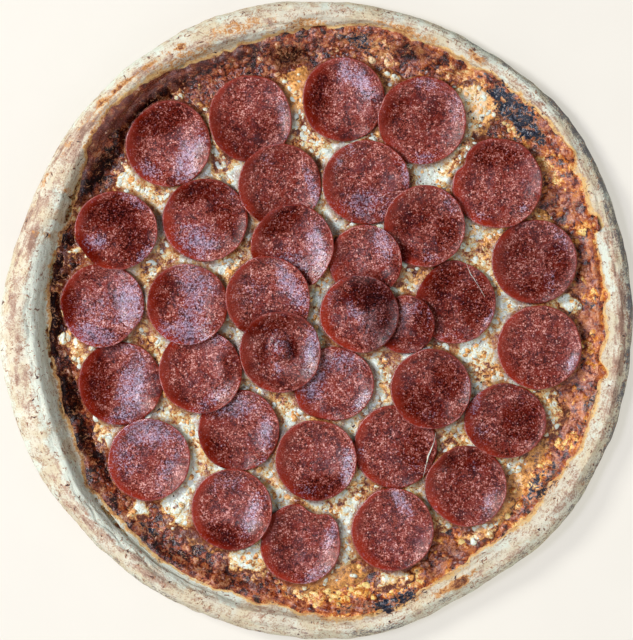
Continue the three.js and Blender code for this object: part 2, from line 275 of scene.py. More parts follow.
def dough_look():
    """Floury baked dough: cream, tan freckles, streaks, toasted brown, ashen grey, black char, painted shade.
    """
    look = Look("dough", roughness=0.8, subsurface_weight=0.06, subsurface_scale=0.002,
                subsurface_radius=(1.0, 0.6, 0.35))
    fine = look.noise(0.8, 3, 0.65)
    middle = look.noise(3.6, 4, 0.6, 0.6)
    streaks = look.streaks(8, 1.3)
    tone = look.total(look.swing(streaks, 0.3), look.swing(fine, 0.42), look.swing(middle, 0.34))
    colour = look.ramp(look.noise(14, 3, 0.6), (0.4, (212, 206, 183)), (0.6, (207, 195, 163)))
    colour = look.lay(colour, tone, (-0.02, 0.3, (172, 142, 112), 0.75))
    tan = look.total(look.times(look.mask("tan"), 1.15), tone)
    colour = look.lay(colour, tan, (0.25, 0.8, (174, 145, 124), 0.9), (0.8, 1.15, (128, 94, 76), 0.8))
    pale = look.total(look.mask("flour"), look.times(tone, -0.7))
    colour = look.lay(colour, pale, (0.3, 0.9, (214, 220, 202), 1))
    spotty = look.swing(look.noise(1.6, 4, 0.7, 0.5), 0.5)
    stain = look.total(look.mask("stain"), look.times(spotty, 0.7))
    colour = look.lay(colour, stain, (0.2, 0.6, (222, 184, 118), 1), (0.6, 1.0, (168, 104, 64), 1))
    # Toasted brown, with painted shadow laid in where the rim shades its own left foot.
    toast_and_painted_shadow = look.total(look.mask("toast_and_painted_shadow"), spotty)
    colour = look.lay(colour, toast_and_painted_shadow, (0.3, 0.65, (200, 144, 82), 1), (0.6, 0.95, (122, 66, 36), 1),
                      (1.0, 1.3, (62, 34, 24), 1))
    # Ashen grey patches, with painted shade grey along the rim's outer edge away from the windows.
    ash_and_painted_shade = look.total(look.mask("ash_and_painted_shade"), tone)
    colour = look.lay(colour, ash_and_painted_shade, (0.3, 1.0, (84, 86, 92), 0.9))
    rough = look.fade(look.mask("char"), 0.3, 0.7, 0.8, 0.5)
    return look.finish(look.charred(colour), rough, look.grain((middle, 0.4), (streaks, 0.45), (fine, 0.26)))


def sauce_look():
    """Reduced, oily tomato sauce, dark red-brown, with browned cheese scraps; painted light and shadow."""
    look = Look("sauce")
    fine = look.noise(0.75, 3, 0.65)
    lumps = look.noise(3.2, 4, 0.6, 0.8)
    clouds = look.noise(10, 3, 0.6)
    painted_light = look.mask("light")
    tone = look.total(
        look.swing(fine, 0.36), look.swing(lumps, 0.8), look.swing(clouds, 0.46),
        # The low mask is painted shade in the hollows between the big lumps.
        look.times(look.total(look.mask("bits"), -0.4), 0.55), look.times(look.mask("low"), -0.35),
        # Painted light: the sauce's tone rises toward the right and bottom.
        look.times(look.total(painted_light, -0.55), 0.4))
    colour = look.ramp(tone, (-0.6, (34, 8, 4)), (-0.28, (84, 24, 8)), (0.0, (128, 49, 17)),
                       (0.28, (166, 90, 46)), (0.6, (208, 150, 106)))
    colour = look.mix(look.times(look.mask("mauve"), 0.7), colour, (120, 66, 56))
    cheesy = look.total(look.mask("cheesy"), look.times(tone, 0.75))
    # Painted light: lit and shaded copies of each browned colour, chosen by side.
    browned = look.mix(painted_light, (140, 82, 52), (176, 88, 26))
    golden = look.mix(painted_light, (184, 140, 108), (222, 148, 56))
    pale = look.mix(painted_light, (216, 196, 184), (238, 208, 122))
    colour = look.lay(colour, cheesy, (0.3, 0.55, browned, 1), (0.58, 0.82, golden, 1), (0.88, 1.12, pale, 1))
    pits = look.times(look.fade(fine, 0.44, 0.34), look.fade(cheesy, 0.5, 0.7, 0, 0.8))
    colour = look.mix(pits, colour, (96, 38, 14))
    # Painted shadow: darkens the sauce where the rim's shadow falls, with less gloss there.
    dark = look.times(look.mask("dark"), look.fade(fine, 0.35, 0.66, 1.0, 0.75))
    colour = look.mix(dark, colour, (16, 5, 4))
    rough = look.fade(fine, 0.3, 0.7, 0.13, 0.36)
    grain = look.grain((look.noise(2.0, 4, 0.6), 0.7), (fine, 0.12))
    return look.finish(look.charred(colour), rough, grain, look.fade(dark, 0.0, 0.8, 0.65, 0.06))


def cheese_look():
    """Melted mozzarella: white, cream, yellow where thin, browned on bumps, oily and painted shade by slices.
    """
    look = Look("cheese", roughness=0.35, subsurface_weight=0.08, subsurface_scale=0.002,
                subsurface_radius=(1.0, 0.7, 0.4))
    fine = look.noise(0.75, 3, 0.65)
    lumps = look.noise(2.2, 4, 0.65, 0.8)
    curds, own = look.cells(2.7, look.stray(2.2, 1.0))
    tone = look.total(
        look.times(own, 0.4), look.swing(lumps, 0.5), look.swing(fine, 0.14),
        look.swing(look.noise(6, 3, 0.6), 0.36),
        look.times(look.mask("white"), 0.62), look.times(look.mask("yellow"), -0.16),
        look.times(look.mask("brown"), -0.5), look.fade(curds, 0.5, 0.85, 0, -0.26), -0.04)
    colour = look.ramp(tone, (-0.34, (88, 36, 18)), (-0.12, (154, 88, 48)), (0.1, (206, 156, 88)),
                       (0.3, (214, 198, 146)), (0.6, (214, 224, 210)))
    yellow = look.total(look.mask("yellow"), look.swing(lumps, 0.6))
    colour = look.lay(colour, yellow, (0.45, 1.1, (252, 182, 96), 0.66))
    # Oily red-brown along the slices' edges, laid darker as painted shade where slices meet the cheese.
    oil = look.times(look.mask("oil"), look.fade(fine, 0.3, 0.62, 0.35, 1))
    colour = look.mix(oil, colour, (116, 44, 20))
    pits = look.times(look.fade(fine, 0.4, 0.32), look.fade(look.noise(6, 2), 0.42, 0.58, 0.05, 0.75))
    colour = look.mix(pits, colour, (136, 100, 60))
    rough = look.fade(fine, 0.3, 0.7, 0.18, 0.36)
    grain = look.grain((curds, -0.5), (look.noise(1.6, 3, 0.6), 0.45), (fine, 0.1))
    return look.finish(look.charred(colour), rough, grain)


def pepperoni_look():
    """Cured sausage: red-brown, finely grained, glossy with fat; painted lilac sheen and painted shade."""
    look = Look("pepperoni")
    fine = look.noise(0.7, 2, 0.6)
    middle = look.noise(1.7, 3, 0.65)
    clouds = look.noise(6.5, 4, 0.6, 0.5)
    flecks, own = look.cells(1.25, look.stray(1.2, 0.3))
    shaded, gloss_and_painted_sheen = look.mask("shade"), look.mask("gloss_and_painted_sheen")
    tone = look.total(look.swing(fine, 0.56), look.swing(middle, 0.46), look.swing(clouds, 0.34))
    colour = look.ramp(tone, (-0.48, (44, 9, 6)), (-0.18, (86, 22, 12)), (0.05, (123, 47, 33)),
                       (0.3, (150, 79, 66)), (0.6, (216, 160, 148)))
    wet = look.times(look.fade(look.noise(4.5, 3, 0.6, 1.0), 0.5, 0.6), look.fade(fine, 0.66, 0.4, 0.15, 0.7))
    colour = look.mix(wet, colour, (124, 30, 12))
    purple = look.times(look.fade(clouds, 0.5, 0.36), look.fade(fine, 0.7, 0.4, 0.15, 0.6))
    colour = look.mix(purple, colour, (76, 28, 32))
    fat = look.times(look.fade(flecks, 0.36, 0.16), look.fade(own, 0.66, 0.88, 0, 0.9))
    colour = look.mix(fat, colour, (220, 170, 158))
    rim = look.times(look.mask("rim"), look.fade(fine, 0.3, 0.62, 0.97, 0.75))
    colour = look.mix(rim, colour, (146, 36, 8))
    # Painted shade: darkens the meat in the spots listed for each slice, with less gloss there.
    shade = look.times(shaded, look.fade(fine, 0.35, 0.65, 1.0, 0.8))
    colour = look.mix(shade, colour, (132, 62, 50), "MULTIPLY")
    # On slice 32 this darkening is painted shade; on the others it is the meat's own darker tone.
    dark = look.times(look.mask("dark"), look.fade(fine, 0.32, 0.62, 1.0, 0.72))
    colour = look.mix(dark, colour, (112, 74, 96), "MULTIPLY")
    # Painted sheen: a pale lilac painted highlight laid over the fat's real gloss.
    painted_sheen = look.total(gloss_and_painted_sheen, look.swing(look.noise(1.4, 3, 0.7), 0.85), look.swing(fine, 0.35))
    colour = look.lay(colour, painted_sheen, (0.4, 1.5, (182, 176, 206), 0.48))
    rough = look.total(look.fade(fine, 0.35, 0.65, 0.15, 0.3), look.fade(gloss_and_painted_sheen, 0.0, 0.6, 0.1, 0.0),
                       look.fade(shaded, 0.0, 0.6, 0.0, 0.25))
    shine = look.total(look.fade(gloss_and_painted_sheen, 0.0, 1.0, 0.32, 0.6), look.times(look.mask("lip"), 0.7))
    shine = look.times(shine, look.fade(shaded, 0.0, 0.6, 1.0, 0.06))
    grain = look.grain((look.noise(2.6, 3, 0.6), 0.3), (middle, 0.2), (fine, 0.17))
    return look.finish(colour, rough, grain, shine)


def herb_look():
    """Dried oregano: dull dark green and brown."""
    look = Look("herb", roughness=0.7)
    shade = look.noise(0.5, 2)
    colour = look.ramp(shade, (0.35, (36, 32, 18)), (0.65, (72, 60, 30)))
    return look.finish(colour, look.fade(shade, 0.3, 0.7, 0.55, 0.8), look.grain((shade, 0.1)))


# ---------------------------------------------------------------- numbers

DRAW_FACTORS = (374761393, 668265263, 2246822519)
DRAW_SEED_FACTOR = 3266489917
DRAW_LARGEST = 4294967295.0
# How each finer layer of noise is turned, seeded and evened out, so that no lumps line up.
TURN = np.array([[0.36, 0.48, -0.8], [-0.8, 0.6, 0.0], [0.48, 0.64, 0.6]])
LAYER_SEED = 17
LAYER_SPREAD = 1.4
# The power that rounds off a patch's corners, and the size of the lumps in its edge.
SPOT_SHAPE = 2.4
SPOT_LUMPS = 5.0


def ease(low, high, value):
    """0 up to low, 1 from high on, and smooth between."""
    part = np.clip((value - low) / (high - low), 0, 1)
    return part * part * (3 - 2 * part)


def turned(angle, start):
    """The turn from one angle to another, from -180 to 180."""
    return (angle - start + 180) % 360 - 180


def angle_of(places):
    """The angle of each place round the middle, from 0 to 360."""
    return np.degrees(np.arctan2(places[..., 1], places[..., 0])) % 360


def at_level(plan, level=0.0):
    """Places in plan as points at a height."""
    return np.column_stack([plan, np.broadcast_to(level, len(plan))])


def on_circle(angle, radius, height=0.0):
    """Points at angles in degrees round the middle."""
    turn = np.radians(angle)
    return np.stack(np.broadcast_arrays(radius * np.cos(turn), radius * np.sin(turn), height), axis=-1)


def smooth_loop(values, step):
    """Values at fractional steps on a smooth closed line through even ones."""
    base = step.astype(int)
    part = (step - base).reshape(-1, *[1] * (values.ndim - 1))
    a, b, c, d = (values[(base + shift) % len(values)] for shift in (-1, 0, 1, 2))
    return b + 0.5 * part * (c - a + part * (2 * a - 5 * b + 4 * c - d + part * (3 * (b - c) + d - a)))


def between(table, row, column):
    """Values between the cells of a table, whose last row is followed by its first."""
    low, left = row.astype(int), column.astype(int)
    v, u = row - low, column - left
    low, above = low % len(table), (low + 1) % len(table)
    return (table[low, left] * (1 - u) * (1 - v) + table[low, left + 1] * u * (1 - v)
            + table[above, left] * (1 - u) * v + table[above, left + 1] * u * v)


def draw(places, seed):
    """A repeatable number from 0 to 1 for each whole-number place."""
    value = 0
    for axis, factor in enumerate(DRAW_FACTORS):
        value = value ^ places[..., axis].astype(np.uint32) * np.uint32(factor)
    value += np.uint32(seed * DRAW_SEED_FACTOR % 2**32)
    value = (value ^ (value >> np.uint32(15))) * np.uint32(DRAW_FACTORS[2])
    value = (value ^ (value >> np.uint32(13))) * np.uint32(DRAW_SEED_FACTOR)
    return (value ^ (value >> np.uint32(16))) / DRAW_LARGEST


def lumps(points, size, seed):
    """Smooth noise from -1 to 1, with lumps about size mm across, at an array of points."""
    scaled = points / size
    cell = np.floor(scaled).astype(np.int64)
    part = scaled - cell
    part = part * part * (3 - 2 * part)
    total = 0
    for corner in np.ndindex(2, 2, 2):
        dx, dy, dz = corner
        weight = np.abs(1 - dx - part[..., 0]) * np.abs(1 - dy - part[..., 1]) * np.abs(1 - dz - part[..., 2])
        total = total + weight * draw(cell + corner, seed)
    return 2 * total - 1


def rough(points, size, seed, layers=3):
    """Noise from about -1 to 1 with finer and finer lumps in it."""
    total = 0
    for layer in range(layers):
        total = total + lumps(points, size / 2**layer, seed + LAYER_SEED * layer) / 2**layer
        points = points @ TURN
    return total / LAYER_SPREAD


def pebbles(points, size, seed):
    """How far each point is from the nearest of pebbles about size mm apart, and that pebble's own number."""
    scaled = points / size
    cell = np.floor(scaled).astype(np.int64)
    nearest = np.full(scaled.shape[:-1], np.inf)
    own = np.zeros(scaled.shape[:-1])
    for shift in np.ndindex(3, 3, 3):
        home = cell + shift - 1
        middle = home + np.stack([draw(home, seed + axis) for axis in range(3)], axis=-1)
        gap = np.linalg.norm(scaled - middle, axis=-1)
        own = np.where(gap < nearest, draw(home, seed + 3), own)
        nearest = np.minimum(nearest, gap)
    return nearest, own


def patches(angle, radius, spots, seed, ragged=2.5, soft=2.0):
    """How far each point is inside ragged spots: (from angle, to angle, from radius, to radius, amount)."""
    wobble = ragged * rough(on_circle(angle, radius), SPOT_LUMPS, seed)
    total = np.zeros(np.broadcast(angle, radius).shape)
    for start, end, inner, outer, amount in spots:
        length, width = (end - start) / 2 * np.radians(1) * (inner + outer) / 2, (outer - inner) / 2
        beside = np.abs(turned(angle, (start + end) / 2)) * np.radians(1) * radius / length
        across = np.abs(radius - (inner + outer) / 2) / width
        outside = ((beside**SPOT_SHAPE + across**SPOT_SHAPE)**(1 / SPOT_SHAPE) - 1) * min(length, width)
        total = np.maximum(total, amount * ease(soft, -soft, outside + wobble))
    return total


# ---------------------------------------------------------------- meshes

def stitch(inner, outer):
    """Triangles between a ring of evenly spaced points and the ring of points that follows it."""
    near = np.arange(inner)
    across = np.floor((near + 0.5) * outer / inner + 0.5).astype(int)
    far = np.arange(across[0], across[0] + outer)
    back = np.searchsorted(across, far, side="right")
    fans = np.stack([back % inner, inner + far % outer, inner + (far + 1) % outer], axis=1)
    if inner == 1:
        return fans
    teeth = np.stack([near, inner + across % outer, (near + 1) % inner], axis=1)
    return teeth if outer == 1 else np.concatenate([teeth, fans])


def count_points(rings):
    """How many points rings hold in all."""
    return sum(len(ring) for ring in rings)


def weave(rings, start=0):
    """Triangles between each ring and the next, whose points are numbered from start."""
    starts = start + np.cumsum([0] + [len(ring) for ring in rings])
    return np.concatenate([stitch(len(a), len(b)) + first for a, b, first in zip(rings, rings[1:], starts)])


def make_shell(name, rings, material, slot, replaced, masks):
    """A closed piece over rings of points, from its top pole outward, round and back to its bottom pole."""
    make_piece(name, np.concatenate(rings), weave(rings), material, slot, replaced, **masks)


def make_piece(name, points, faces, material, slot, replaced=(), **masks):
    """A smooth mesh from points in mm, with a number at each point for each mask."""
    mesh = bpy.data.meshes.new(name)
    mesh.from_pydata((points * MM).tolist(), [], faces.tolist())
    mesh.shade_smooth()
    for mask, values in masks.items():
        held = mesh.attributes.new(mask, "FLOAT", "POINT")
        held.data.foreach_set("value", np.asarray(values, dtype=np.float32))
    mesh.materials.append(material)
    piece = bpy.data.objects.new(name, mesh)
    bpy.context.scene.collection.objects.link(piece)
    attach(piece, "root")
    if replaced:
        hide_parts(*replaced)


# ---------------------------------------------------------------- the solids, read from the frame

SOLID_SPOKES = 96
SPOKES = 1152
SPOKE_ANGLES = np.arange(SPOKES) * 360 / SPOKES
# Steps along the crust's section, from its foot out, over the rim and in to the flat.
FOOT, CREST, LINE, SHOULDER, CHEESE_EDGE, FLAT = 0, 5, 8, 9, 10, 11
# A place inside the rim that all of a section's points lie round: share of the outline's radius, and height.
SPINE = (0.93, 2.6)


def corners(name):
    """The corner points of one of the frame's solids, in mm, each once."""
    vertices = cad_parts[name].data.vertices
    flat = np.empty(3 * len(vertices))
    vertices.foreach_get("co", flat)
    return np.unique(np.round(flat.reshape(-1, 3) / MM, 3), axis=0)


def read_crust():
    """The crust's section at each spoke: (radius, height) at each step."""
    points = corners("crust")
    radius = np.hypot(points[:, 0], points[:, 1])
    spoke = np.round(angle_of(points) * SOLID_SPOKES / 360).astype(int) % SOLID_SPOKES
    section = []
    for number in range(SOLID_SPOKES):
        mine = (spoke == number) & (radius > 1)
        path = np.stack([radius[mine], points[mine, 2]], axis=1)
        spine = path[:, 0].max() * SPINE[0]
        section.append(path[np.argsort(np.arctan2(path[:, 1] - SPINE[1], path[:, 0] - spine))])
    return smooth_loop(np.array(section), np.arange(SPOKES) * SOLID_SPOKES / SPOKES)


SECTION = read_crust()
OUTLINE = SECTION[:, :, 0].max(axis=1)
SAUCE_LINE = SECTION[:, LINE, 0]


def section_at(steps):
    """Points (radius, height) and outward directions along the crust's section, in rows of spokes."""
    chords = np.linalg.norm(np.diff(SECTION, axis=1), axis=2)[..., None]
    slopes = np.diff(SECTION, axis=1) / chords
    tangents = np.empty_like(SECTION)
    tangents[:, 0], tangents[:, -1] = (1, 0), (-1, 0)
    share = chords[:, 1:] + chords[:, :-1]
    tangents[:, 1:-1] = (slopes[:, :-1] * chords[:, 1:] + slopes[:, 1:] * chords[:, :-1]) / share
    base = np.minimum(steps.astype(int), SECTION.shape[1] - 2)
    t = (steps - base)[None, :, None]
    start, end, chord = SECTION[:, base], SECTION[:, base + 1], chords[:, base]
    out, home = tangents[:, base] * chord, tangents[:, base + 1] * chord
    place = start + (3 * t**2 - 2 * t**3) * (end - start) + (t - 2 * t**2 + t**3) * out + (t**3 - t**2) * home
    going = 6 * t * (1 - t) * (end - start) + (1 - 4 * t + 3 * t**2) * out + (3 * t**2 - 2 * t) * home
    away = np.stack([going[..., 1], -going[..., 0]], axis=-1)
    away /= np.linalg.norm(away, axis=-1, keepdims=True)
    return place.swapaxes(0, 1), away.swapaxes(0, 1)


def steps_over(rows):
    """Steps from the flat back over the section, with a number of rows within each of its steps."""
    steps = [np.linspace(step, step + 1, count, endpoint=False) for step, count in rows.items()]
    return np.concatenate(steps + [[float(FLAT)]])[::-1]


def hub(shares, level):
    """The rings over the flat middle: its pole, then circles at shares of the flat's radius."""
    rings = [np.array([[0, 0, level]])]
    for every, share in zip((16, 8, 4), shares):
        rings.append(on_circle(SPOKE_ANGLES[::every], SECTION[::every, FLAT, 0] * share, level))
    return rings


# ---------------------------------------------------------------- crust

CRUST_ROWS = {0: 5, 1: 5, 2: 6, 3: 7, 4: 7, 5: 8, 6: 10, 7: 7, 8: 4, 9: 4, 10: 3}
# Noise for the streaks is read on a circle so much smaller than the rim, which draws it out along the rim.
STREAK_RADIUS = RIM_RADIUS * 0.22

# Swellings: (angle, radius, length round, width across, height), all in mm but the angle.
BLISTERS = [
    (58, 149, 6, 4, 1.0), (32.5, 147, 5, 4, 0.8), (298, 144.5, 12, 4, 0.9), (139, 137, 40, 9, 1.4),
    (206, 127, 12, 8, 1.3), (17, 143, 14, 7, 0.9), (86, 141, 9, 6, 0.8), (294.5, 148, 4, 3, 0.5),
    (279, 146, 8, 4, 0.9), (262, 146, 16, 6, 0.8), (345, 143, 16, 6, 0.9), (108, 144, 22, 7, 0.9),
    (185, 136, 24, 10, 0.8), (232, 141, 18, 7, 0.7), (70, 144, 12, 5, 0.8), (322, 144, 14, 6, 0.8),
]
# How far folds stray from their line, how fast, and how long the ends of a tuck are.
FOLD_SWAY = 0.8
FOLD_SWAY_RATE = 0.9
TUCK_END = 1.5
# Folds along the rim: (from angle, to angle, radius at the start, radius at the end, depth, width).
FOLDS = [
    (119, 142, 146, 147.5, 1.4, 1.8), (95, 112, 142, 147, 0.8, 1.8), (67, 73, 147, 147, 0.7, 1.2),
    (277, 283, 141, 144, 0.7, 1.2), (214, 238, 141, 143, 0.5, 1.5), (170, 200, 139, 138, 0.4, 2.0),
    (330, 352, 145, 144, 0.5, 1.4), (8, 26, 146, 147, 0.5, 1.4),
]
# Short folds that run outward: (angle, from radius, to radius, depth, width in mm).
TUCKS = [
    (153.5, 130, 141, 1.0, 2.0), (162, 131, 140, 0.8, 2.4), (281, 138, 146, 0.8, 1.6),
    (52, 140, 147, 0.6, 2.0),
]

# All patches, here and below: (from angle, to angle, from radius, to radius, amount).
CHARRED = [
    (39, 53, 133, 146, 0.75), (79, 85, 132, 141, 0.65), (277, 289, 138, 144.5, 0.75),
    (317, 329, 131, 139, 0.55), (341, 347, 137, 140.5, 0.5), (2.5, 5.5, 134, 136.5, 0.7),
    (229.5, 232.5, 129, 132.5, 0.6),
]
TOASTED = [
    (56, 60.5, 145.5, 150.5, 0.75), (31, 34, 143, 148, 0.9), (294, 302, 142.5, 146, 0.95),
    (88, 97, 138, 145, 0.5), (97, 112, 143, 149, 0.5), (108, 127, 137, 144, 0.45),
    (118, 143, 145.6, 147.9, 0.95), (127, 142, 142, 145, 0.35), (152, 153, 131, 140, 0.6),
    (162, 163, 132, 140, 0.75), (66, 78, 144, 148, 0.6), (36, 56, 131, 147, 0.5),
    (268, 292, 136, 146, 0.5), (56, 66, 140, 146, 0.4), (316, 333, 136, 141, 0.4),
    (339, 350, 137, 141, 0.35),
]
ASHEN = [
    (224, 246, 149.5, 155, 0.5), (262, 268, 147, 151, 0.4), (275, 290, 150, 155, 0.6),
    (15, 21, 148, 151, 0.8), (293.5, 295.5, 146.5, 149.5, 0.7),
]
# How strongly the rim's outermost edge is painted grey at each angle: painted shade on the edge that
# turns from the windows, strongest at the right.
EDGE_PAINTED_SHADE = {
    0: 1.0, 20: 1.0, 45: 0.95, 70: 0.4, 90: 0.1, 215: 0.0, 240: 0.3, 285: 0.25, 305: 0.4, 325: 0.8, 345: 1.0,
}
TANNED = [
    (105, 205, 138.5, 148.5, 1.0), (205, 262, 142, 149.5, 0.75), (332, 390, 143.5, 152, 1.0),
    (52, 104, 147.5, 151, 0.5), (262, 345, 144, 150, 0.55), (20, 60, 147, 152, 1.0),
    (150, 168, 138, 148, 0.5), (245, 345, 150, 155, 0.4),
]
FLOURED = [
    (156, 205, 130, 141, 0.9), (196, 262, 134, 143, 1.0), (3, 17, 139, 145, 1.0),
    (98, 110, 138.5, 142, 0.7), (303, 316, 137, 142, 0.7), (262, 332, 147, 154, 0.5),
    (25, 80, 150, 154, 0.8), (330, 350, 142, 146, 0.6), (262, 300, 146, 149, 0.5),
    (50, 52.5, 144.5, 147.5, 1.0), (105, 215, 149.5, 154, 0.9), (20, 60, 146, 149, 0.3),
    (170, 240, 148, 152, 0.4),
]


def charring(angle, radius):
    """How charred the crust, sauce or cheese is at each place."""
    return patches(angle, radius, CHARRED, 31)


def swellings(angle, radius):
    """The height that the blisters add."""
    total = 0
    for clock, middle, length, width, height in BLISTERS:
        along = turned(angle, clock) * np.radians(1) * middle / (length / 2)
        across = (radius - middle) / (width / 2)
        total = total + height * np.exp(-(along**2 + across**2))
    return total


def furrows(angle, radius):
    """The depth that the folds and tucks take away."""
    total = 0
    for start, end, first, last, depth, width in FOLDS:
        swing = turned(angle, start)
        part = swing / (end - start)
        line = first + (last - first) * part + FOLD_SWAY * np.sin(swing * FOLD_SWAY_RATE)
        ends = ease(-0.08, 0.12, part) * ease(1.08, 0.88, part)
        total = total + depth * ends * np.exp(-((radius - line) / (width / 2))**2)
    for clock, first, last, depth, width in TUCKS:
        beside = turned(angle, clock) * np.radians(1) * radius
        ends = ease(first - TUCK_END, first + TUCK_END, radius)
        ends = ends * ease(last + TUCK_END, last - TUCK_END, radius)
        total = total + depth * ends * np.exp(-(beside / (width / 2))**2)
    return total


def dough_surface(steps):
    """The dough's lumpy skin along rows of steps: points, outward directions, angle, radius, step."""
    place, away = section_at(steps)
    angle = np.broadcast_to(SPOKE_ANGLES, place.shape[:2])
    radius = place[..., 0]
    step = np.broadcast_to(steps[:, None], radius.shape)
    points = on_circle(angle, radius, place[..., 1])
    streak_place = on_circle(angle, STREAK_RADIUS, step * 6.0)
    rise = 0
    for height, size, seed, layers, place in (
            (0.75, 20, 11, 3, points), (0.5, 7, 12, 3, points), (0.34, 3.4, 13, 3, streak_place),
            (0.16, 2.4, 14, 2, points)):
        rise = rise + height * rough(place, size, seed, layers)
    rise = rise + swellings(angle, radius) - furrows(angle, radius)
    rise = rise + 0.6 * charring(angle, radius) * rough(points, 2.6, 15)
    rise = rise * ease(0.4, 2.0, step) * ease(10.0, 8.5, step)
    away = on_circle(angle, away[..., 0], away[..., 1])
    return points + rise[..., None] * away, away, angle, radius, step


def make_crust(material):
    """The dough: its skin from the middle out over the rim and back underneath."""
    points, _, angle, radius, step = dough_surface(steps_over(CRUST_ROWS))
    points[..., 2] = np.maximum(points[..., 2], 0)
    middle = hub((0.25, 0.55, 0.85), SECTION[0, FLAT, 1])
    bottom = [on_circle(SPOKE_ANGLES[::8], SECTION[::8, FOOT, 0] * 0.6), np.array([[0, 0, 0.0]])]

    streaks = rough(on_circle(angle, STREAK_RADIUS, step * 5.0), 3, 21)
    tan = patches(angle, radius, TANNED, 32, 3.0, 2.5) * (0.6 + 0.8 * streaks)
    tan = np.maximum(tan, 0.35 * ease(0.1, 0.8, streaks))
    toast_and_painted_shadow = patches(angle, radius, TOASTED, 33, 1.5, 1.6)
    low = ease(2.2, 0.6, step)
    tan = np.maximum(tan, 0.8 * low)
    toast_and_painted_shadow = np.maximum(toast_and_painted_shadow, 0.5 * low * ease(-0.3, 0.6, streaks))
    past = radius - SAUCE_EDGE
    reach = 1.7 + 1.9 * rough(points, 11, 37) + 1.0 * rough(points, 3.5, 35)
    stain = ease(1.0, -0.6, past / np.maximum(reach, 0.8) - 0.4) * ease(CREST, CREST + 1, step)
    # Painted shadow: the left foot of the rim, where the rim shades it, is laid in toasted brown.
    shadowed = ease(58, 42, np.abs(turned(angle, 180))) * ease(2.4, 0.2, past) * (step > CREST)
    toast_and_painted_shadow = np.maximum(toast_and_painted_shadow, 0.68 * shadowed * (0.9 + 0.3 * rough(points, 9, 40)))
    # Painted shade: grey on the rim's outermost edge, by angle.
    edge = np.interp(SPOKE_ANGLES, list(EDGE_PAINTED_SHADE), list(EDGE_PAINTED_SHADE.values()), period=360)
    edge = edge * ease(5.5, 0.5, OUTLINE - radius) * (0.85 + 0.5 * rough(points, 9, 39))
    ash_and_painted_shade = np.maximum(patches(angle, radius, ASHEN, 34, 1.5, 1.2), edge) * (step < CREST)
    masks = dict(
        char=charring(angle, radius), tan=tan, toast_and_painted_shadow=toast_and_painted_shadow, stain=stain * (0.75 + 0.4 * rough(points, 7, 38)),
        ash_and_painted_shade=ash_and_painted_shade, flour=patches(angle, radius, FLOURED, 36, 2.5, 2.5))
    masks = {name: np.clip(value, 0, 1) for name, value in masks.items()}
    masks["across"] = step * 5.0
    before, after = np.zeros(count_points(middle)), np.zeros(count_points(bottom))
    masks = {name: np.concatenate([before, value.ravel(), after + 0.5 * (name == "tan")])
             for name, value in masks.items()}
    make_shell("baked_crust", middle + list(points) + bottom, material, "dough", ["crust"], masks)


# ---------------------------------------------------------------- sauce

SAUCE_ROWS = {6: 10, 7: 9, 8: 7, 9: 7, 10: 7}
SAUCE_DEEP = 1.6
SAUCE_EDGE_SUNK = 0.6
LAYER_SUNK = 1.4
# Where the sauce climbs further, or less far: (from angle, to angle, mm).
DRIPS = [
    (17.8, 20.2, 5), (4, 6, 2), (348.8, 351, 3), (31, 34, 3), (124, 143, 4), (97, 101, 1),
    (214, 218, 1.5), (332, 338, 2), (190, 266, -3.0), (102, 120, -2.2), (150, 162, -2.0),
]
BROWNED = [
    (28, 37, 127, 146, 0.65), (38, 56, 129, 137, 0.6), (53, 60, 134, 146, 0.75),
    (60, 66, 130, 142, 0.5), (74, 80, 124, 140, 0.6), (264, 284, 121, 138, 0.66),
    (305, 332, 121, 136, 0.64), (284, 292, 129, 140, 0.5), (350, 357, 128, 138, 0.4),
    (332, 338, 134, 141, 0.5), (86, 92, 120, 130, 0.5), (102, 107, 124, 132, 0.4),
    (4, 7, 132, 140, 0.55), (17.5, 20.5, 132, 145, 0.6), (27, 29, 128, 140, 0.5),
    (152, 158, 124, 131, 0.5), (210, 222, 132, 139, 0.35), (186, 190, 115, 124, 0.45),
    (252, 256, 124, 138, 0.4), (296, 304, 118, 126, 0.4),
]
MAUVE = [
    (102, 127, 134, 139, 0.7), (122, 146, 134.5, 142, 1.0), (144, 152, 131, 135, 0.7),
    (290, 305, 132, 137, 0.5),
]
# Painted shadow on the sauce, deepest at the foot of the rim on the left, where the rim shades it.
SHADED = [
    (119, 136, 128, 135, 1.0), (134, 152, 123, 131.5, 1.0), (160, 190, 121, 131.5, 1.0),
    (190, 202, 120, 129, 1.0), (200, 216, 121, 130, 0.8), (216, 248, 131, 137, 0.45),
    (91, 100, 123, 134, 1.0), (97, 119, 130, 138, 0.45), (65, 74, 134, 143, 0.55),
    (248, 253, 122, 136, 0.6), (288, 296, 131, 138, 0.3), (46, 49, 122, 130, 0.7),
    (60, 62, 134, 142, 0.5), (276, 282, 129, 133, 0.5), (298, 304, 126, 133, 0.5),
    (93, 97, 103, 130, 0.4),
]


def sauce_climb():
    """How far past its own line the sauce reaches at each spoke."""
    line = on_circle(SPOKE_ANGLES, 140.0)
    climb = 0.6 + 1.5 * rough(line, 9, 41) + 0.9 * rough(line, 3.5, 42)
    for start, end, reach in DRIPS:
        climb = climb + reach * ease(1, 0, np.abs(turned(SPOKE_ANGLES, (start + end) / 2)) / (end - start))
    return climb


SAUCE_EDGE = SAUCE_LINE + sauce_climb()


def sunk_rings():
    """The hidden underside of a layer, just inside the dough: from the rim's wall in to its bottom pole."""
    points = dough_surface(np.array([LINE - 0.5, SHOULDER, CHEESE_EDGE, FLAT], dtype=float))[0]
    points[..., 2] -= LAYER_SUNK
    pole = np.array([[0, 0, points[3, 0, 2]]])
    return [points[0][::4], points[1][::4], points[2][::8], points[3][::8], pole]


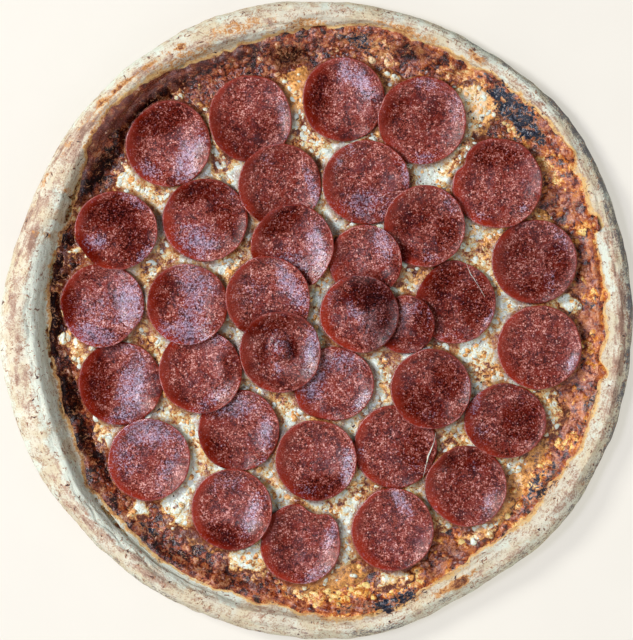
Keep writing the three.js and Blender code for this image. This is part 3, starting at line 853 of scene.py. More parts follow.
def sunny_side(angle):
    """1 at the right and the bottom, down to 0 at the left where the rim shades the sauce: how much painted
    light the sauce gets, and how big and how many its lumps are.
    """
    return np.clip(0.5 + 0.5 * np.cos(np.radians(angle + 10)) + 0.4 * ease(32, 0, np.abs(angle - 282)), 0, 1)


def browning(angle, radius):
    """How much browned cheese the sauce holds at each place."""
    return patches(angle, radius, BROWNED, 45, 4.0, 2.5)


def shading(angle, radius):
    """How dark the painted shadow makes the sauce at each place."""
    return patches(angle, radius, SHADED, 47, 2.5, 2.5)


def make_sauce(material):
    """The sauce: its ring at the foot of the rim, and the layer under the cheese. Gives its top's points."""
    points, away, angle, radius, _ = dough_surface(steps_over(SAUCE_ROWS))
    inside = SAUCE_EDGE - radius
    wander = np.stack([rough(points, 5, 43 + axis) for axis in range(3)], axis=-1)
    small, bits = pebbles(points + 0.8 * wander, 3.2, 44)
    large, _ = pebbles(points + 1.6 * wander, 7.0, 48)
    right = sunny_side(angle)
    blobs = 0.55 * rough(points, 9, 49) + (0.45 + 0.4 * right) * (0.5 - small)
    blobs = blobs + (0.7 + 1.1 * right) * (0.55 - large)
    thick = (SAUCE_DEEP + blobs) * ease(0, 2.4, inside) - SAUCE_EDGE_SUNK * ease(1.2, -0.6, inside)
    points = points + thick[..., None] * away

    edge = ease(2.5, 0.3, inside) * (0.45 + 0.4 * rough(on_circle(angle, RIM_RADIUS), 12, 46))
    masks = dict(
        char=charring(angle, radius), cheesy=np.maximum(browning(angle, radius), edge),
        dark=shading(angle, radius), mauve=patches(angle, radius, MAUVE, 50, 2.0, 2.0), bits=bits,
        # Painted light by side, and painted shade in the hollows between the big lumps.
        light=right, low=ease(0.45, 0.85, np.maximum(large, 0.8 * small)))
    middle, bottom = hub((0.3, 0.6, 0.9), points[0, :, 2].mean()), sunk_rings()
    before, after = np.zeros(count_points(middle)), np.zeros(count_points(bottom))
    masks = {name: np.concatenate([before, np.clip(value, 0, 1).ravel(), after])
             for name, value in masks.items()}
    make_shell("tomato_sauce", middle + list(points) + bottom, material, "sauce", ["sauce"], masks)
    return points


# ---------------------------------------------------------------- pepperoni

OUTLINE_KNOTS = 24
EDGE_POINTS = 144
RING_COUNTS = (12, 24, 36, 48, 72, 144)
SLICE_RINGS = np.concatenate([np.linspace(0.05, 0.86, 18), np.linspace(0.89, 0.965, 5)])
UNDER_RINGS = ((0.9, 72), (0.75, 72), (0.55, 48), (0.35, 36), (0.15, 12))
FLANK_TURNS = (60, 30, 0, -30, -60, -90)
EDGE_ROUND = 0.6
# The red edge is real; painted light and shade make it widest and strongest where it faces this way,
# toward the windows, and dimmer on the far side.
RED_EDGE_WINDOW_SIDE = 190
SLICE_REACH = 46
SLICE_GAP = 0.08
CURL_HEIGHT = 0.8
CURL_WIDTH = 5.5
LARGEST_DIP = 0.7
# How far the curled edge of a slice beneath may reach up around the edge of the slice on it.
CURL_CLEAR = 3
# How much the outline is flattened and waved, and how soft the bent surface through the solid's points is.
FLATTENED = 0.035
WAVED = 0.016
BEND_SOFT = 0.5
NUB_SLICE = 34
NUB_PLACE = (-16.9, -13.3)
NUB_HALF = (4.4, 5.6)
NUB_HEIGHT = 2.0
RING_SLICE = 13
RING_PLACE = (10.5, -73.7)
# How dark and purple each slice's meat is; for slice 32 this is painted shade over its right half.
DARK_SLICES = {32: 0.85, 21: 0.3, 10: 0.4, 34: 0.35, 27: 0.25, 20: 0.2}
OTHERS_DARK = 0.06
# The slice whose right half is painted dark: painted shade on a side that turns from the windows.
HALF_SHADED_SLICE = 32
# Where each slice shines with fat under a painted lilac sheen, a painted highlight: (right and up from its
# middle, half length, half width, turn, amount).
GLOSS_AND_PAINTED_SHEEN = {
    1: [(9, -8, 11, 6, 80, 1.0), (-9, -13, 6, 4, 150, 0.8), (16, 2, 8, 3, 100, 0.6)],
    2: [(8, 9.6, 11, 4.5, 128, 1.0), (1, 15, 6, 4, 90, 1.0)],
    3: [(5, -3, 14, 6.5, 85, 1.0), (0, -16, 7, 3, 20, 0.9), (8, 14, 7, 3.5, 140, 0.7)],
    4: [(13, -2, 12, 3.5, 90, 0.75), (12, -15, 4, 2.5, 45, 0.8), (1, 12, 12, 6, 10, 0.75)],
    5: [(14.7, 4, 8, 2.5, 75, 0.8), (7.5, -15, 9, 3.5, 25, 0.8)],
    6: [(16, -8, 6, 1.6, 60, 0.7), (-2, -16, 8, 2.5, 0, 0.4)],
    7: [(-16, -3, 3, 2, 0, 0.6), (9, -10, 3, 2, 120, 0.4)],
    8: [(11, -8, 8, 2.4, 65, 0.7), (5, 9, 5, 2, 160, 0.35)],
    9: [(4.5, 12.5, 8, 3.5, 170, 0.8), (13, -8.6, 7, 2.5, 50, 0.8), (-11, 2, 11, 7, 80, 0.85),
        (2, 10, 10, 6, 0, 0.6)],
    10: [(13, 11.5, 7, 3.2, 130, 0.6), (7.6, -10, 5, 3, 90, 0.35)],
    11: [(-8, -16, 3, 2, 0, 0.7), (12.8, -11.6, 2, 2, 0, 0.8)],
    12: [(9, -3, 11, 4, 60, 0.6), (0, 13, 14, 7, 175, 1.0), (5, -14.6, 5, 3, 90, 0.3),
        (-12, 3, 9, 7, 90, 0.7)],
    13: [(15, -5, 11, 3, 85, 0.9), (-5, -14.6, 5, 3, 170, 0.5)],
    14: [(4, 14, 9, 3, 125, 1.0)],
    15: [(15.5, 2, 10, 2, 98, 0.6)],
    16: [(-5, -10, 10, 8, 160, 0.9), (13, 13, 3, 1.6, 120, 0.5)],
    17: [(1.4, 18, 7, 3, 170, 0.7), (16, 7, 8, 4, 115, 0.5), (1.4, -18, 6, 3, 20, 0.8)],
    18: [(13, 0, 14, 7, 90, 0.95), (-4, -14, 11, 6, 170, 1.0), (0, -2, 14, 9, 0, 0.5)],
    19: [(7, -12.5, 11, 3, 35, 0.8), (9, 16, 6, 3, 140, 0.6)],
    20: [(-14, 8.4, 6, 2, 75, 0.9), (-12, -4, 6, 4, 100, 0.4)],
    21: [(2.5, 8, 5, 3, 10, 0.7), (11.6, 5, 4, 1.2, 95, 0.5)],
    22: [(15.7, -1, 12, 2.6, 109, 0.9), (-7, 13, 3, 3, 0, 0.5)],
    23: [(19, 3.7, 8, 2.5, 105, 0.9), (-13, 10, 4, 2, 70, 0.8), (-8, 16, 4, 2.5, 150, 0.7),
        (0, -11, 12, 7, 0, 0.7)],
    24: [(-9.6, -5, 5, 4, 0, 1.0), (10, 13.7, 8, 2.5, 148, 0.7), (14, -11.6, 7, 3, 50, 0.8)],
    25: [(2, -1, 17, 6, 80, 0.85), (-1, -13, 13, 7, 0, 1.0), (4, 12, 10, 6, 150, 0.85)],
    26: [(10, -3, 12, 3.6, 70, 0.8), (-2, 13, 9, 4, 10, 0.5)],
    27: [(17, 0.5, 7, 1.6, 80, 0.6), (0, -12, 6, 2, 175, 0.3)],
    28: [(14.8, -8.6, 5, 2.2, 60, 0.9)],
    29: [(12, 11.5, 7, 2.6, 120, 0.55), (3, -15, 3.5, 2.5, 0, 0.7)],
    30: [(8.3, 9, 9, 5, 110, 0.9)],
    31: [(12.4, -3, 15, 5, 95, 0.85), (-1, -10, 10, 8, 0, 0.7)],
    32: [(-1.5, 0, 6, 3, 120, 0.7), (-14, 7, 4, 2, 60, 0.6)],
    33: [(12, 5, 14, 4.5, 126, 1.0), (-8, 4, 9, 6, 60, 0.4)],
    34: [(14.8, 2, 11, 3.5, 85, 1.0), (-1.4, -7.6, 3.5, 2, 90, 0.8), (0, 2.4, 6.5, 5.0, 90, 0.55)],
}
# Where painted shade darkens each slice, in the same terms.
SHADE = {
    1: [(-4, 11, 14, 7, 20, 0.8), (-14, -2, 8, 5, 90, 0.4)],
    2: [(-12, 2, 13, 6, 80, 0.75), (2, -14, 8, 5, 0, 0.3)],
    3: [(-11, -1, 16, 8, 95, 0.8)],
    4: [(-10, -10, 10, 6, 130, 0.6), (-4, 2, 12, 8, 60, 0.25)],
    5: [(-8, 4, 12, 8, 100, 0.35)],
    6: [(-6, 10, 12, 8, 40, 0.75), (10, 0, 12, 9, 90, 0.75), (-6, -2, 10, 8, 60, 0.45)],
    7: [(10, -2, 12, 8, 80, 0.6)],
    8: [(-4, -4, 12, 8, 90, 0.4), (2, 12, 13, 6, 0, 0.6), (12, 2, 8, 6, 90, 0.4)],
    10: [(2, -12, 9, 6, 0, 0.65), (-6, 4, 12, 10, 60, 0.45), (11, 0, 11, 7, 90, 0.55)],
    11: [(0, 13, 14, 6, 0, 0.6)],
    13: [(2, -13, 12, 6, 10, 0.75)],
    15: [(-8, -10, 12, 7, 120, 0.45), (8, -2, 9, 8, 90, 0.45)],
    16: [(-3, 13, 13, 6, 10, 0.75), (10, 2, 10, 7, 110, 0.6)],
    17: [(-12, 6, 9, 5, 50, 0.5), (6, 3, 12, 7, 60, 0.4)],
    18: [(-17, -2, 12, 4, 80, 0.9), (-6, 14, 10, 4, 20, 0.4)],
    19: [(-9, -12, 7, 4, 130, 0.4), (14, 2, 8, 4, 90, 0.5)],
    20: [(9, 0, 11, 10, 90, 0.7)],
    21: [(2, -8, 9, 4, 0, 0.5), (9, 0, 9, 6, 90, 0.8)],
    22: [(-2, 12, 12, 6, 20, 0.35), (-8, -8, 8, 5, 120, 0.3)],
    23: [(-6, -6, 10, 5, 150, 0.3)],
    24: [(-1, 8, 14, 9, 10, 0.95), (8, -3, 11, 8, 100, 0.85), (-14, -10, 8, 5, 120, 0.8),
        (0, -2, 9, 6, 0, 0.5)],
    25: [(-12, 6, 12, 6, 60, 0.5)],
    26: [(-2, -13, 12, 6, 165, 0.7)],
    27: [(-4, -8, 13, 8, 150, 0.7), (8, 4, 10, 8, 90, 0.65)],
    28: [(4, -2, 12, 9, 30, 0.25)],
    29: [(-9, -13, 4.5, 4, 0, 0.95), (-4, 4, 12, 8, 30, 0.5), (11, -3, 10, 6, 90, 0.7)],
    30: [(16, -4, 6, 3, 110, 0.5), (4, -10, 9, 5, 0, 0.5)],
    31: [(-4, 12, 12, 5, 40, 0.75)],
    32: [(4, 9, 13, 7, 0, 0.7), (12, -2, 7, 5, 90, 0.5)],
    34: [(6.5, 2.5, 5, 2.2, 95, 0.8), (-9, 0, 7, 4, 90, 0.5), (2, -14, 10, 4, 0, 0.35),
        (-4, 13, 13, 5, 10, 0.6)],
}


class Slice:
    """One slice: the bent underside of its solid, its outline and its place in the pile."""

    def __init__(self, number):
        self.name = f"pepperoni_{number:02d}"
        self.number = number
        points = corners(self.name)
        self.knots, which = np.unique(np.round(points[:, :2], 2), axis=0, return_inverse=True)
        floor = np.full(len(self.knots), np.inf)
        np.minimum.at(floor, which.ravel(), points[:, 2])
        centre = self.knots.mean(axis=0)
        self.middle = self.knots[np.argmin(np.linalg.norm(self.knots - centre, axis=1))]
        self.make_outline(self.knots - self.middle)
        self.fit(floor)

    def own_place(self, plan, apart):
        """Places in plan, lifted so far apart for each slice that noise differs from slice to slice."""
        return at_level(plan, apart * self.number)

    def make_outline(self, out):
        """A smooth closed line through the solid's outer points."""
        edge = out[np.argsort(-np.linalg.norm(out, axis=1))[:OUTLINE_KNOTS]]
        edge = edge[np.argsort(np.arctan2(edge[:, 1], edge[:, 0]))]
        line = smooth_loop(edge, np.arange(EDGE_POINTS) * OUTLINE_KNOTS / EDGE_POINTS)
        place = self.own_place(line + self.middle, 9.0)
        flats = FLATTENED * np.maximum(0, rough(place, 15, 56, 1))
        self.edge = line * (0.997 + WAVED * rough(place, 7, 51) - flats)[:, None]
        order = np.argsort(angle_of(self.edge))
        self.edge_angle = angle_of(self.edge)[order]
        self.edge_radius = np.linalg.norm(self.edge, axis=1)[order]

    def fit(self, floor):
        """A smooth bent surface through the underside's points."""
        gaps = np.linalg.norm(self.knots[:, None] - self.knots[None], axis=2)
        count = len(floor)
        system = np.zeros((count + 3, count + 3))
        system[:count, :count] = self.bend(gaps) + BEND_SOFT * np.eye(count)
        system[:count, count] = system[count, :count] = 1
        system[:count, count + 1:] = self.knots
        system[count + 1:, :count] = self.knots.T
        self.weights = np.linalg.solve(system, np.concatenate([floor, np.zeros(3)]))

    @staticmethod
    def bend(gap):
        """What one knot adds at a distance, as a thin plate bends."""
        return gap**2 * np.log(gap + 1e-9)

    def underside(self, plan):
        """The height of the underside at places in plan."""
        gaps = np.linalg.norm(plan[:, None] - self.knots[None], axis=2)
        count = len(self.knots)
        return self.bend(gaps) @ self.weights[:count] + self.weights[count] + plan @ self.weights[count + 1:]

    def inside(self, plan):
        """How far inside the outline each place is, in mm."""
        out = plan - self.middle
        radius = np.interp(angle_of(out), self.edge_angle, self.edge_radius, period=360)
        return radius - np.linalg.norm(out, axis=1)

    def headroom(self, plan, slices):
        """How high this slice may reach at places in plan before it touches a slice that lies on it."""
        limit = np.full(len(plan), np.inf)
        for other in slices[self.number:]:
            if np.linalg.norm(other.middle - self.middle) < SLICE_REACH:
                beyond = other.inside(plan)
                floor = other.underside(plan) - SLICE_GAP + CURL_HEIGHT * ease(0, -CURL_CLEAR, beyond) * 2
                limit = np.minimum(limit, np.where(beyond > -CURL_CLEAR, floor, np.inf))
        return limit

    def ring(self, share, count, inset=0.0):
        """Places in plan on a smaller copy of the outline."""
        edge = self.edge[::EDGE_POINTS // count]
        length = np.linalg.norm(edge, axis=1, keepdims=True)
        return self.middle + edge * (share - inset / length)

    def relief(self, plan, slices):
        """How much the top stands above its even thickness: curled edge, swells, grain, a nub and a ring."""
        inside = self.inside(plan)
        place = self.own_place(plan, 11.0)
        curl = CURL_HEIGHT * ease(CURL_WIDTH, 0, inside) * (0.7 + 0.5 * rough(place, 14, 57, 1))
        relief = curl + 0.24 * rough(place, 5.0, 52) + 0.45 * rough(place, 12, 53, 2) * ease(0, 5, inside)
        relief = relief + 0.09 * rough(place, 1.7, 58, 2)
        if self.number == NUB_SLICE:
            off = np.linalg.norm((plan - NUB_PLACE) / NUB_HALF, axis=1)
            relief = relief + NUB_HEIGHT * ease(1.2, 0.6, off) - 0.6 * np.exp(-((off - 1.6) / 0.5)**2)
        if self.number == RING_SLICE:
            off = np.linalg.norm(plan - RING_PLACE, axis=1)
            relief = relief + 0.5 * np.exp(-((off - 2.0) / 0.7)**2)
        room = self.headroom(plan, slices) - self.underside(plan) - SLICE_THICK
        return np.maximum(np.minimum(relief, room), -LARGEST_DIP)

    def spots(self, plan, spots, soft, seed):
        """How far each place is inside the spots that lie on this slice."""
        wobble = 0.35 * rough(self.own_place(plan, 13.0), 4.0, seed)
        total = np.zeros(len(plan))
        for right, up, length, width, turn, amount in spots.get(self.number, ()):
            off = plan - self.middle - (right, up)
            way = np.array([math.cos(math.radians(turn)), math.sin(math.radians(turn))])
            along, across = off @ way, off @ (-way[1], way[0])
            outside = np.hypot(along / length, across / width) + wobble
            total = np.maximum(total, amount * ease(1 + soft, 1 - soft, outside))
        return total

    def top_masks(self, plan):
        """How red the edge is, and how dark the meat, at places on the top. The edge's width by side is
        painted light and shade, and so is the dark half of the half-shaded slice.
        """
        place = self.own_place(plan, 11.0)
        out = plan - self.middle
        window_side = np.cos(np.arctan2(out[:, 1], out[:, 0]) - math.radians(RED_EDGE_WINDOW_SIDE))
        window_side = np.maximum(0, window_side)
        # Painted light and shade: the red edge widens and brightens on the side toward the windows.
        width = 0.9 + 3.4 * window_side + 1.3 * rough(place, 6, 54)
        rim = ease(1.7, 0.3, self.inside(plan) / np.maximum(width, 0.5)) * (0.4 + 0.6 * ease(0.0, 0.5, window_side))
        if self.number == HALF_SHADED_SLICE:
            return rim, ease(-3, 4, out[:, 0] + 0.25 * out[:, 1] + 2.5 * rough(place, 6, 59))
        return rim, 0.45 + 0.6 * rough(place, 8, 55)


def make_slice(piece, slices, material):
    """One slice of pepperoni: a bent disc with a rounded, slightly raised edge."""
    counts = [max(count for count in RING_COUNTS if count <= 150 * share + 12) for share in SLICE_RINGS]
    plans = [piece.middle[None]] + [piece.ring(share, count) for share, count in zip(SLICE_RINGS, counts)]
    levels = [SLICE_THICK + piece.relief(plan, slices) for plan in plans]
    rims, darks = (list(masks) for masks in zip(*[piece.top_masks(plan) for plan in plans]))
    half = SLICE_THICK / 2
    window_side = np.cos(np.radians(np.arange(EDGE_POINTS) * 360 / EDGE_POINTS - RED_EDGE_WINDOW_SIDE))
    for turn in FLANK_TURNS:
        plan = piece.ring(1.0, EDGE_POINTS, EDGE_ROUND * (1 - math.cos(math.radians(turn))))
        lift = piece.relief(plan, slices) * ease(-90, 60, turn)
        plans.append(plan)
        levels.append(half + half * math.sin(math.radians(turn)) + lift)
        # Painted light and shade on the flank too: redder toward the windows.
        rims.append(0.5 + 0.5 * ease(-0.2, 0.4, window_side))
        darks.append(np.full(EDGE_POINTS, 0.5))
    upper = np.concatenate(plans)
    for plan in [piece.ring(share, count) for share, count in UNDER_RINGS] + [piece.middle[None]]:
        plans.append(plan)
        levels.append(0)
        rims.append(np.full(len(plan), 0.4))
        darks.append(np.full(len(plan), 0.5))
    rings = [at_level(plan, piece.underside(plan) + level) for plan, level in zip(plans, levels)]
    under = np.zeros(count_points(plans) - len(upper))
    darkness = DARK_SLICES.get(piece.number, OTHERS_DARK)
    masks = dict(
        rim=np.concatenate(rims), dark=np.clip(np.concatenate(darks) * darkness, 0, 1),
        gloss_and_painted_sheen=np.append(piece.spots(upper, GLOSS_AND_PAINTED_SHEEN, 0.75, 91), under),
        shade=np.append(piece.spots(upper, SHADE, 0.6, 92), under),
        lip=np.append(ease(0.9, 0.0, piece.inside(upper)), under))
    make_shell(f"slice_{piece.number:02d}", rings, material, "pepperoni", [piece.name], masks)


# ---------------------------------------------------------------- cheese

CHEESE_GAP = 0.88
CHEESE_ROWS = 161
CHEESE_DEEP = 2.75
CHEESE_REACH = 117.5
# Where it covers nothing the cheese's sheet is sunk in the sauce, out to this far past the sauce's own line.
SHEET_SUNK = 0.9
SHEET_PAST = 2.0
# Under a slice the cheese stays this far below it, and is raised or pressed down by no more than these.
UNDER_SLICE = 0.12
MOST_RAISED = 2.6
MOST_PRESSED = 3
CELL = 0.6
GRID_HALF = 150.0
TABLE_START = 60
TABLE_STEP = 0.5
SLICE_FAR = 32
# Ragged islands of cheese beyond its usual edge, and smooth broad tongues.
CHEESE_ISLANDS = [
    (48.5, 58, 112, 138, 1.0), (59, 63, 116, 127, 0.9), (71, 77, 114, 128, 1.0),
    (92, 97, 114, 123, 1.0), (120.5, 122.5, 125, 131, 1.0), (116, 119, 114, 124, 0.9),
    (140, 146, 112, 120, 1.0), (153, 158, 121, 127, 0.9), (163, 167, 118, 127, 1.0),
    (168, 173, 122, 127, 0.9), (182, 187, 114, 125, 1.0), (207, 212, 114, 121, 1.0),
    (225, 229, 120, 130, 1.0), (229, 238, 112, 121, 1.0), (238, 247, 119, 124, 0.8),
    (251, 258, 112, 126, 1.0), (255, 259, 126, 131, 1.0), (263, 267, 127, 134, 1.0),
    (274, 278, 112, 126, 1.0), (283, 289, 127, 136, 0.9), (300, 304, 110, 120, 1.0),
    (308, 319, 124, 131, 0.9), (319, 326, 116, 131, 1.0), (323, 332, 120, 129, 0.9),
    (334, 343, 114, 129, 1.0), (1, 5.5, 114, 129, 1.0), (22, 27, 108, 120, 1.0),
]
CHEESE_FANS = [
    (49, 59, 112, 139, 1.0), (266, 281, 118, 129, 0.9), (333, 341, 115, 127, 0.8),
    (283, 290, 126, 134, 0.9), (1, 6, 117, 129, 0.9), (21, 27, 110, 125, 0.9),
    (305, 315, 125, 134, 0.9), (225, 229, 120, 131, 0.8), (250, 258, 114, 127, 0.8),
]
WHITE_SPOTS = [
    (51, 58, 118, 138, 1.0), (306, 315, 125, 135, 0.6), (49, 52, 92, 134, 0.5),
    (2.5, 5.5, 118, 129, 1.0), (140, 146, 94, 120, 0.4), (164, 167, 118, 127, 1.0),
    (169, 173, 122, 127, 0.9), (183, 186, 114, 122, 1.0), (208, 212, 114, 121, 0.9),
    (225, 228, 121, 130, 1.0), (229, 237, 92, 121, 0.9), (251, 257, 112, 126, 0.9),
    (256, 259, 126, 131, 0.9), (263, 267, 127, 134, 1.0), (273, 278, 92, 124, 0.9),
    (301, 304, 92, 118, 0.8), (340, 343, 116, 129, 0.9), (283, 290, 127, 134, 0.8),
    (282, 292, 49, 61, 0.9), (117, 125, 46, 55, 0.9), (22, 26, 112, 124, 0.5),
    (320, 324, 122, 128, 0.7), (324, 329, 118, 122, 0.7), (120.5, 122.5, 125, 131, 0.8),
    (113, 116, 121, 127, 0.8), (79.5, 81, 132, 135, 0.8), (210, 216, 118, 123, 0.7),
    (71, 76, 122, 127, 0.7),
]
YELLOW_SPOTS = [
    (47, 60, 114, 138, 0.75), (59, 66, 118, 132, 0.9), (71, 80, 112, 130, 0.6), (90, 98, 98, 126, 1.0),
    (264, 284, 118, 136, 0.9), (305, 332, 118, 135, 0.9), (22, 27, 92, 125, 0.9),
    (48, 52, 92, 120, 0.5), (229, 238, 112, 120, 0.3), (238, 247, 119, 124, 0.6),
    (144, 148, 96, 116, 0.8), (283, 289, 127, 136, 0.6),
]
BROWN_SPOTS = [
    (56, 61, 133, 140, 0.6), (60, 65, 120, 130, 0.6), (75, 80, 120, 130, 0.7),
    (264, 283, 120, 131, 0.9), (306, 331, 127, 132, 0.35), (45, 49, 118, 130, 0.7),
    (92, 94, 112, 123, 0.5), (22, 25, 100, 120, 0.5), (238, 247, 119, 124, 0.7),
    (207, 209, 108, 118, 0.6), (47, 49.5, 100, 108, 0.9), (116, 119, 114, 124, 0.5),
    (116, 125, 84, 95, 0.9), (150, 162, 72, 84, 0.9), (20, 32, 49, 60, 0.9), (328, 342, 35, 46, 0.7),
    (314, 325, 84, 94, 0.8), (88, 96, 86, 96, 0.6),
]
# A raised finger of cheese between two slices: its ends in plan, its width and its height.
FINGER_START = np.array([74.0, 86.0])
FINGER_END = np.array([63.5, 67.0])
FINGER_WIDTH = 3.4
FINGER_HEIGHT = 2.4


class Grid:
    """Square cells over the pizza, for heights that one piece reads from another."""

    def __init__(self):
        line = np.arange(-GRID_HALF, GRID_HALF + CELL / 2, CELL)
        x, y = np.meshgrid(line, line)
        self.plan = np.stack([x.ravel(), y.ravel()], axis=1)
        self.shape = x.shape
        self.angle = angle_of(self.plan)
        self.radius = np.linalg.norm(self.plan, axis=1)

    def blur(self, values, reach):
        """Values spread over their neighbours within about reach mm."""
        count = math.ceil(2.5 * reach / CELL)
        shifts = range(-count, count + 1)
        weights = np.exp(-0.5 * (np.array(shifts) * CELL / reach)**2)
        weights /= weights.sum()
        grid = values.reshape(self.shape)
        for axis in (0, 1):
            grid = sum(weight * np.roll(grid, shift, axis) for shift, weight in zip(shifts, weights))
        return grid.ravel()

    def read(self, values, plan):
        """Values at places between the cells."""
        column, row = ((plan[:, axis] + GRID_HALF) / CELL for axis in (0, 1))
        return between(values.reshape(self.shape), row, column)

    def near(self, piece):
        """The cells round about a slice."""
        return np.flatnonzero(np.linalg.norm(self.plan - piece.middle, axis=1) < SLICE_FAR)


def bed_heights(grid, sauce):
    """The height of the sauce's top in each cell."""
    radii = np.arange(TABLE_START, GRID_HALF + 1, TABLE_STEP)
    table = [np.interp(radii, np.hypot(spoke[:, 0], spoke[:, 1]), spoke[:, 2])
             for spoke in sauce.swapaxes(0, 1)]
    column = np.clip((grid.radius - TABLE_START) / TABLE_STEP, 0, len(radii) - 1.001)
    return between(np.array(table), grid.angle * SPOKES / 360, column)


def to_line(plan, start, end):
    """How far places in plan are from a straight stretch."""
    way = end - start
    part = np.clip((plan - start) @ way / (way @ way), 0, 1)
    return np.linalg.norm(plan - start - part[:, None] * way, axis=1)


def find_cover(grid, place):
    """How fully the cheese covers each cell, from 0 to 1."""
    edge = np.interp(grid.angle, SPOKE_ANGLES, SECTION[:, CHEESE_EDGE, 0], period=360)
    edge = np.minimum(edge - 3, CHEESE_REACH)
    ragged = 3.0 * rough(place, 8, 61) + 1.4 * rough(place, 3, 62)
    cover = ease(-1.6, 1.6, edge - grid.radius + ragged)
    islands = patches(grid.angle, grid.radius, CHEESE_ISLANDS, 63, 4.5, 3.0)
    cover = np.maximum(cover, np.clip(islands * (0.62 + 0.6 * rough(place, 3.4, 69)), 0, 0.85))
    return np.maximum(cover, 0.9 * patches(grid.angle, grid.radius, CHEESE_FANS, 79, 3.0, 2.0))


def fit_under(grid, height, slices):
    """Cheese of a height, pillowed up to the slices' undersides, and how far each cell is from a slice."""
    under = np.full(len(grid.plan), np.inf)
    nearest = np.full(len(grid.plan), 99.0)
    for piece in slices:
        close = grid.near(piece)
        inside = piece.inside(grid.plan[close])
        nearest[close] = np.minimum(nearest[close], -inside)
        floor = np.where(inside > -0.3, piece.underside(grid.plan[close]), np.inf)
        under[close] = np.minimum(under[close], floor)
    pushed = np.clip(under - 0.15, height - MOST_PRESSED, height + MOST_RAISED)
    lifted = np.where(np.isfinite(under), pushed, height)
    height = np.maximum(grid.blur(lifted, 1.2), grid.blur(height, 0.6))
    return np.minimum(height, under - UNDER_SLICE), nearest


def make_cheese(slices, sauce, material):
    """Melted cheese, which pillows up to the undersides of the slices and runs out raggedly over the sauce.

    Gives the grid, and for its cells the sauce's height, the cheese's height, its cover and the distance
    to a slice.
    """
    grid = Grid()
    bed = bed_heights(grid, sauce)
    place = at_level(grid.plan)
    cover = find_cover(grid, place)
    wander = np.stack([rough(place, 4, 67), rough(place, 4, 68), 0 * grid.radius], axis=-1)
    curds, _ = pebbles(place + 0.6 * wander, 3.4, 66)
    bumps = 0.5 * rough(place, 11, 64) + 0.4 * rough(place, 4.2, 65) + 0.6 * (0.5 - curds)
    height = bed + (CHEESE_DEEP + bumps) * cover - SHEET_SUNK * (1 - cover)
    beside = to_line(grid.plan, FINGER_START, FINGER_END) / (FINGER_WIDTH / 2)
    height, nearest = fit_under(grid, height + FINGER_HEIGHT * np.exp(-beside**2), slices)

    reach = SAUCE_LINE + SHEET_PAST
    rings = [np.zeros((1, 2))]
    for row in range(1, CHEESE_ROWS + 1):
        share = row / CHEESE_ROWS
        count = max(6, round(2 * math.pi * reach.mean() * share / CHEESE_GAP))
        angle = np.arange(count) * 360 / count
        rings.append(on_circle(angle, share * np.interp(angle, SPOKE_ANGLES, reach, period=360))[:, :2])
    plan = np.concatenate(rings)
    rings = [at_level(ring, grid.read(height, ring)) for ring in rings]

    here, angle, radius = at_level(plan), angle_of(plan), np.linalg.norm(plan, axis=1)
    away = grid.read(np.clip(nearest, -9, 20), plan)
    inner = ease(118, 100, radius)
    white, yellow, brown = (
        np.maximum(patches(angle, radius, spots, seed, ragged, soft),
                   inner * amount * ease(low, high, rough(here, size, seed + 1)))
        for spots, seed, ragged, soft, amount, low, high, size in (
            (WHITE_SPOTS, 71, 2.5, 1.8, 0.9, -0.15, 0.4, 9), (YELLOW_SPOTS, 73, 3.0, 2.5, 0.7, 0.1, 0.6, 7),
            (BROWN_SPOTS, 75, 3.0, 2.0, 0.6, 0.25, 0.7, 5.5)))
    # Oily red-brown near the slices, and painted shade along their edges.
    oil = ease(3.4, 0.3, away + 1.3 * rough(here, 3.5, 77)) * ease(-0.6, 0.2, rough(here, 9, 78))
    rim = ease(0.25, 0.0, grid.read(cover, plan) - 0.5)
    masks = dict(
        white=white * (1 - rim) * (1 - 0.6 * brown), yellow=yellow, brown=np.maximum(brown, 0.85 * rim),
        oil=0.95 * oil, char=charring(angle, radius))
    bottom = sunk_rings()
    after = np.zeros(count_points(bottom))
    masks = {name: np.append(np.clip(value, 0, 1), after) for name, value in masks.items()}
    make_shell("melted_cheese", rings + bottom, material, "cheese", ["cheese"], masks)
    return grid, bed, np.maximum(height, bed), cover, nearest


# ---------------------------------------------------------------- curds, crumbs, herbs and threads

CURD_COUNT = 650
CURD_LARGEST = 2.0
CRUMB_COUNT = 900
CRUMB_LARGEST = 2.4
CRUMBS_OUTSIDE = 106
HERB_COUNT = 22
HERBS_INSIDE = 128
THREAD_SIDES = 8
THREAD_RINGS = 12
THREAD_SWAY = 0.35
THREAD_THINNEST = 0.06
# Threads of pulled cheese: places in plan along each, and how thick it is.
THREADS = [
    ([(71.4, 31.0), (73.2, 26.0), (74.9, 21.7), (78.4, 16.4), (81.4, 11.0)], 0.45),
    ([(57.8, -54.3), (56.6, -60.0), (54.1, -65.8), (52.8, -71.4), (51.3, -78.0)], 1.1),
    ([(-64.9, 111.2), (-61.6, 107.2), (-58.6, 104.2), (-56.8, 101.8)], 0.4),
]


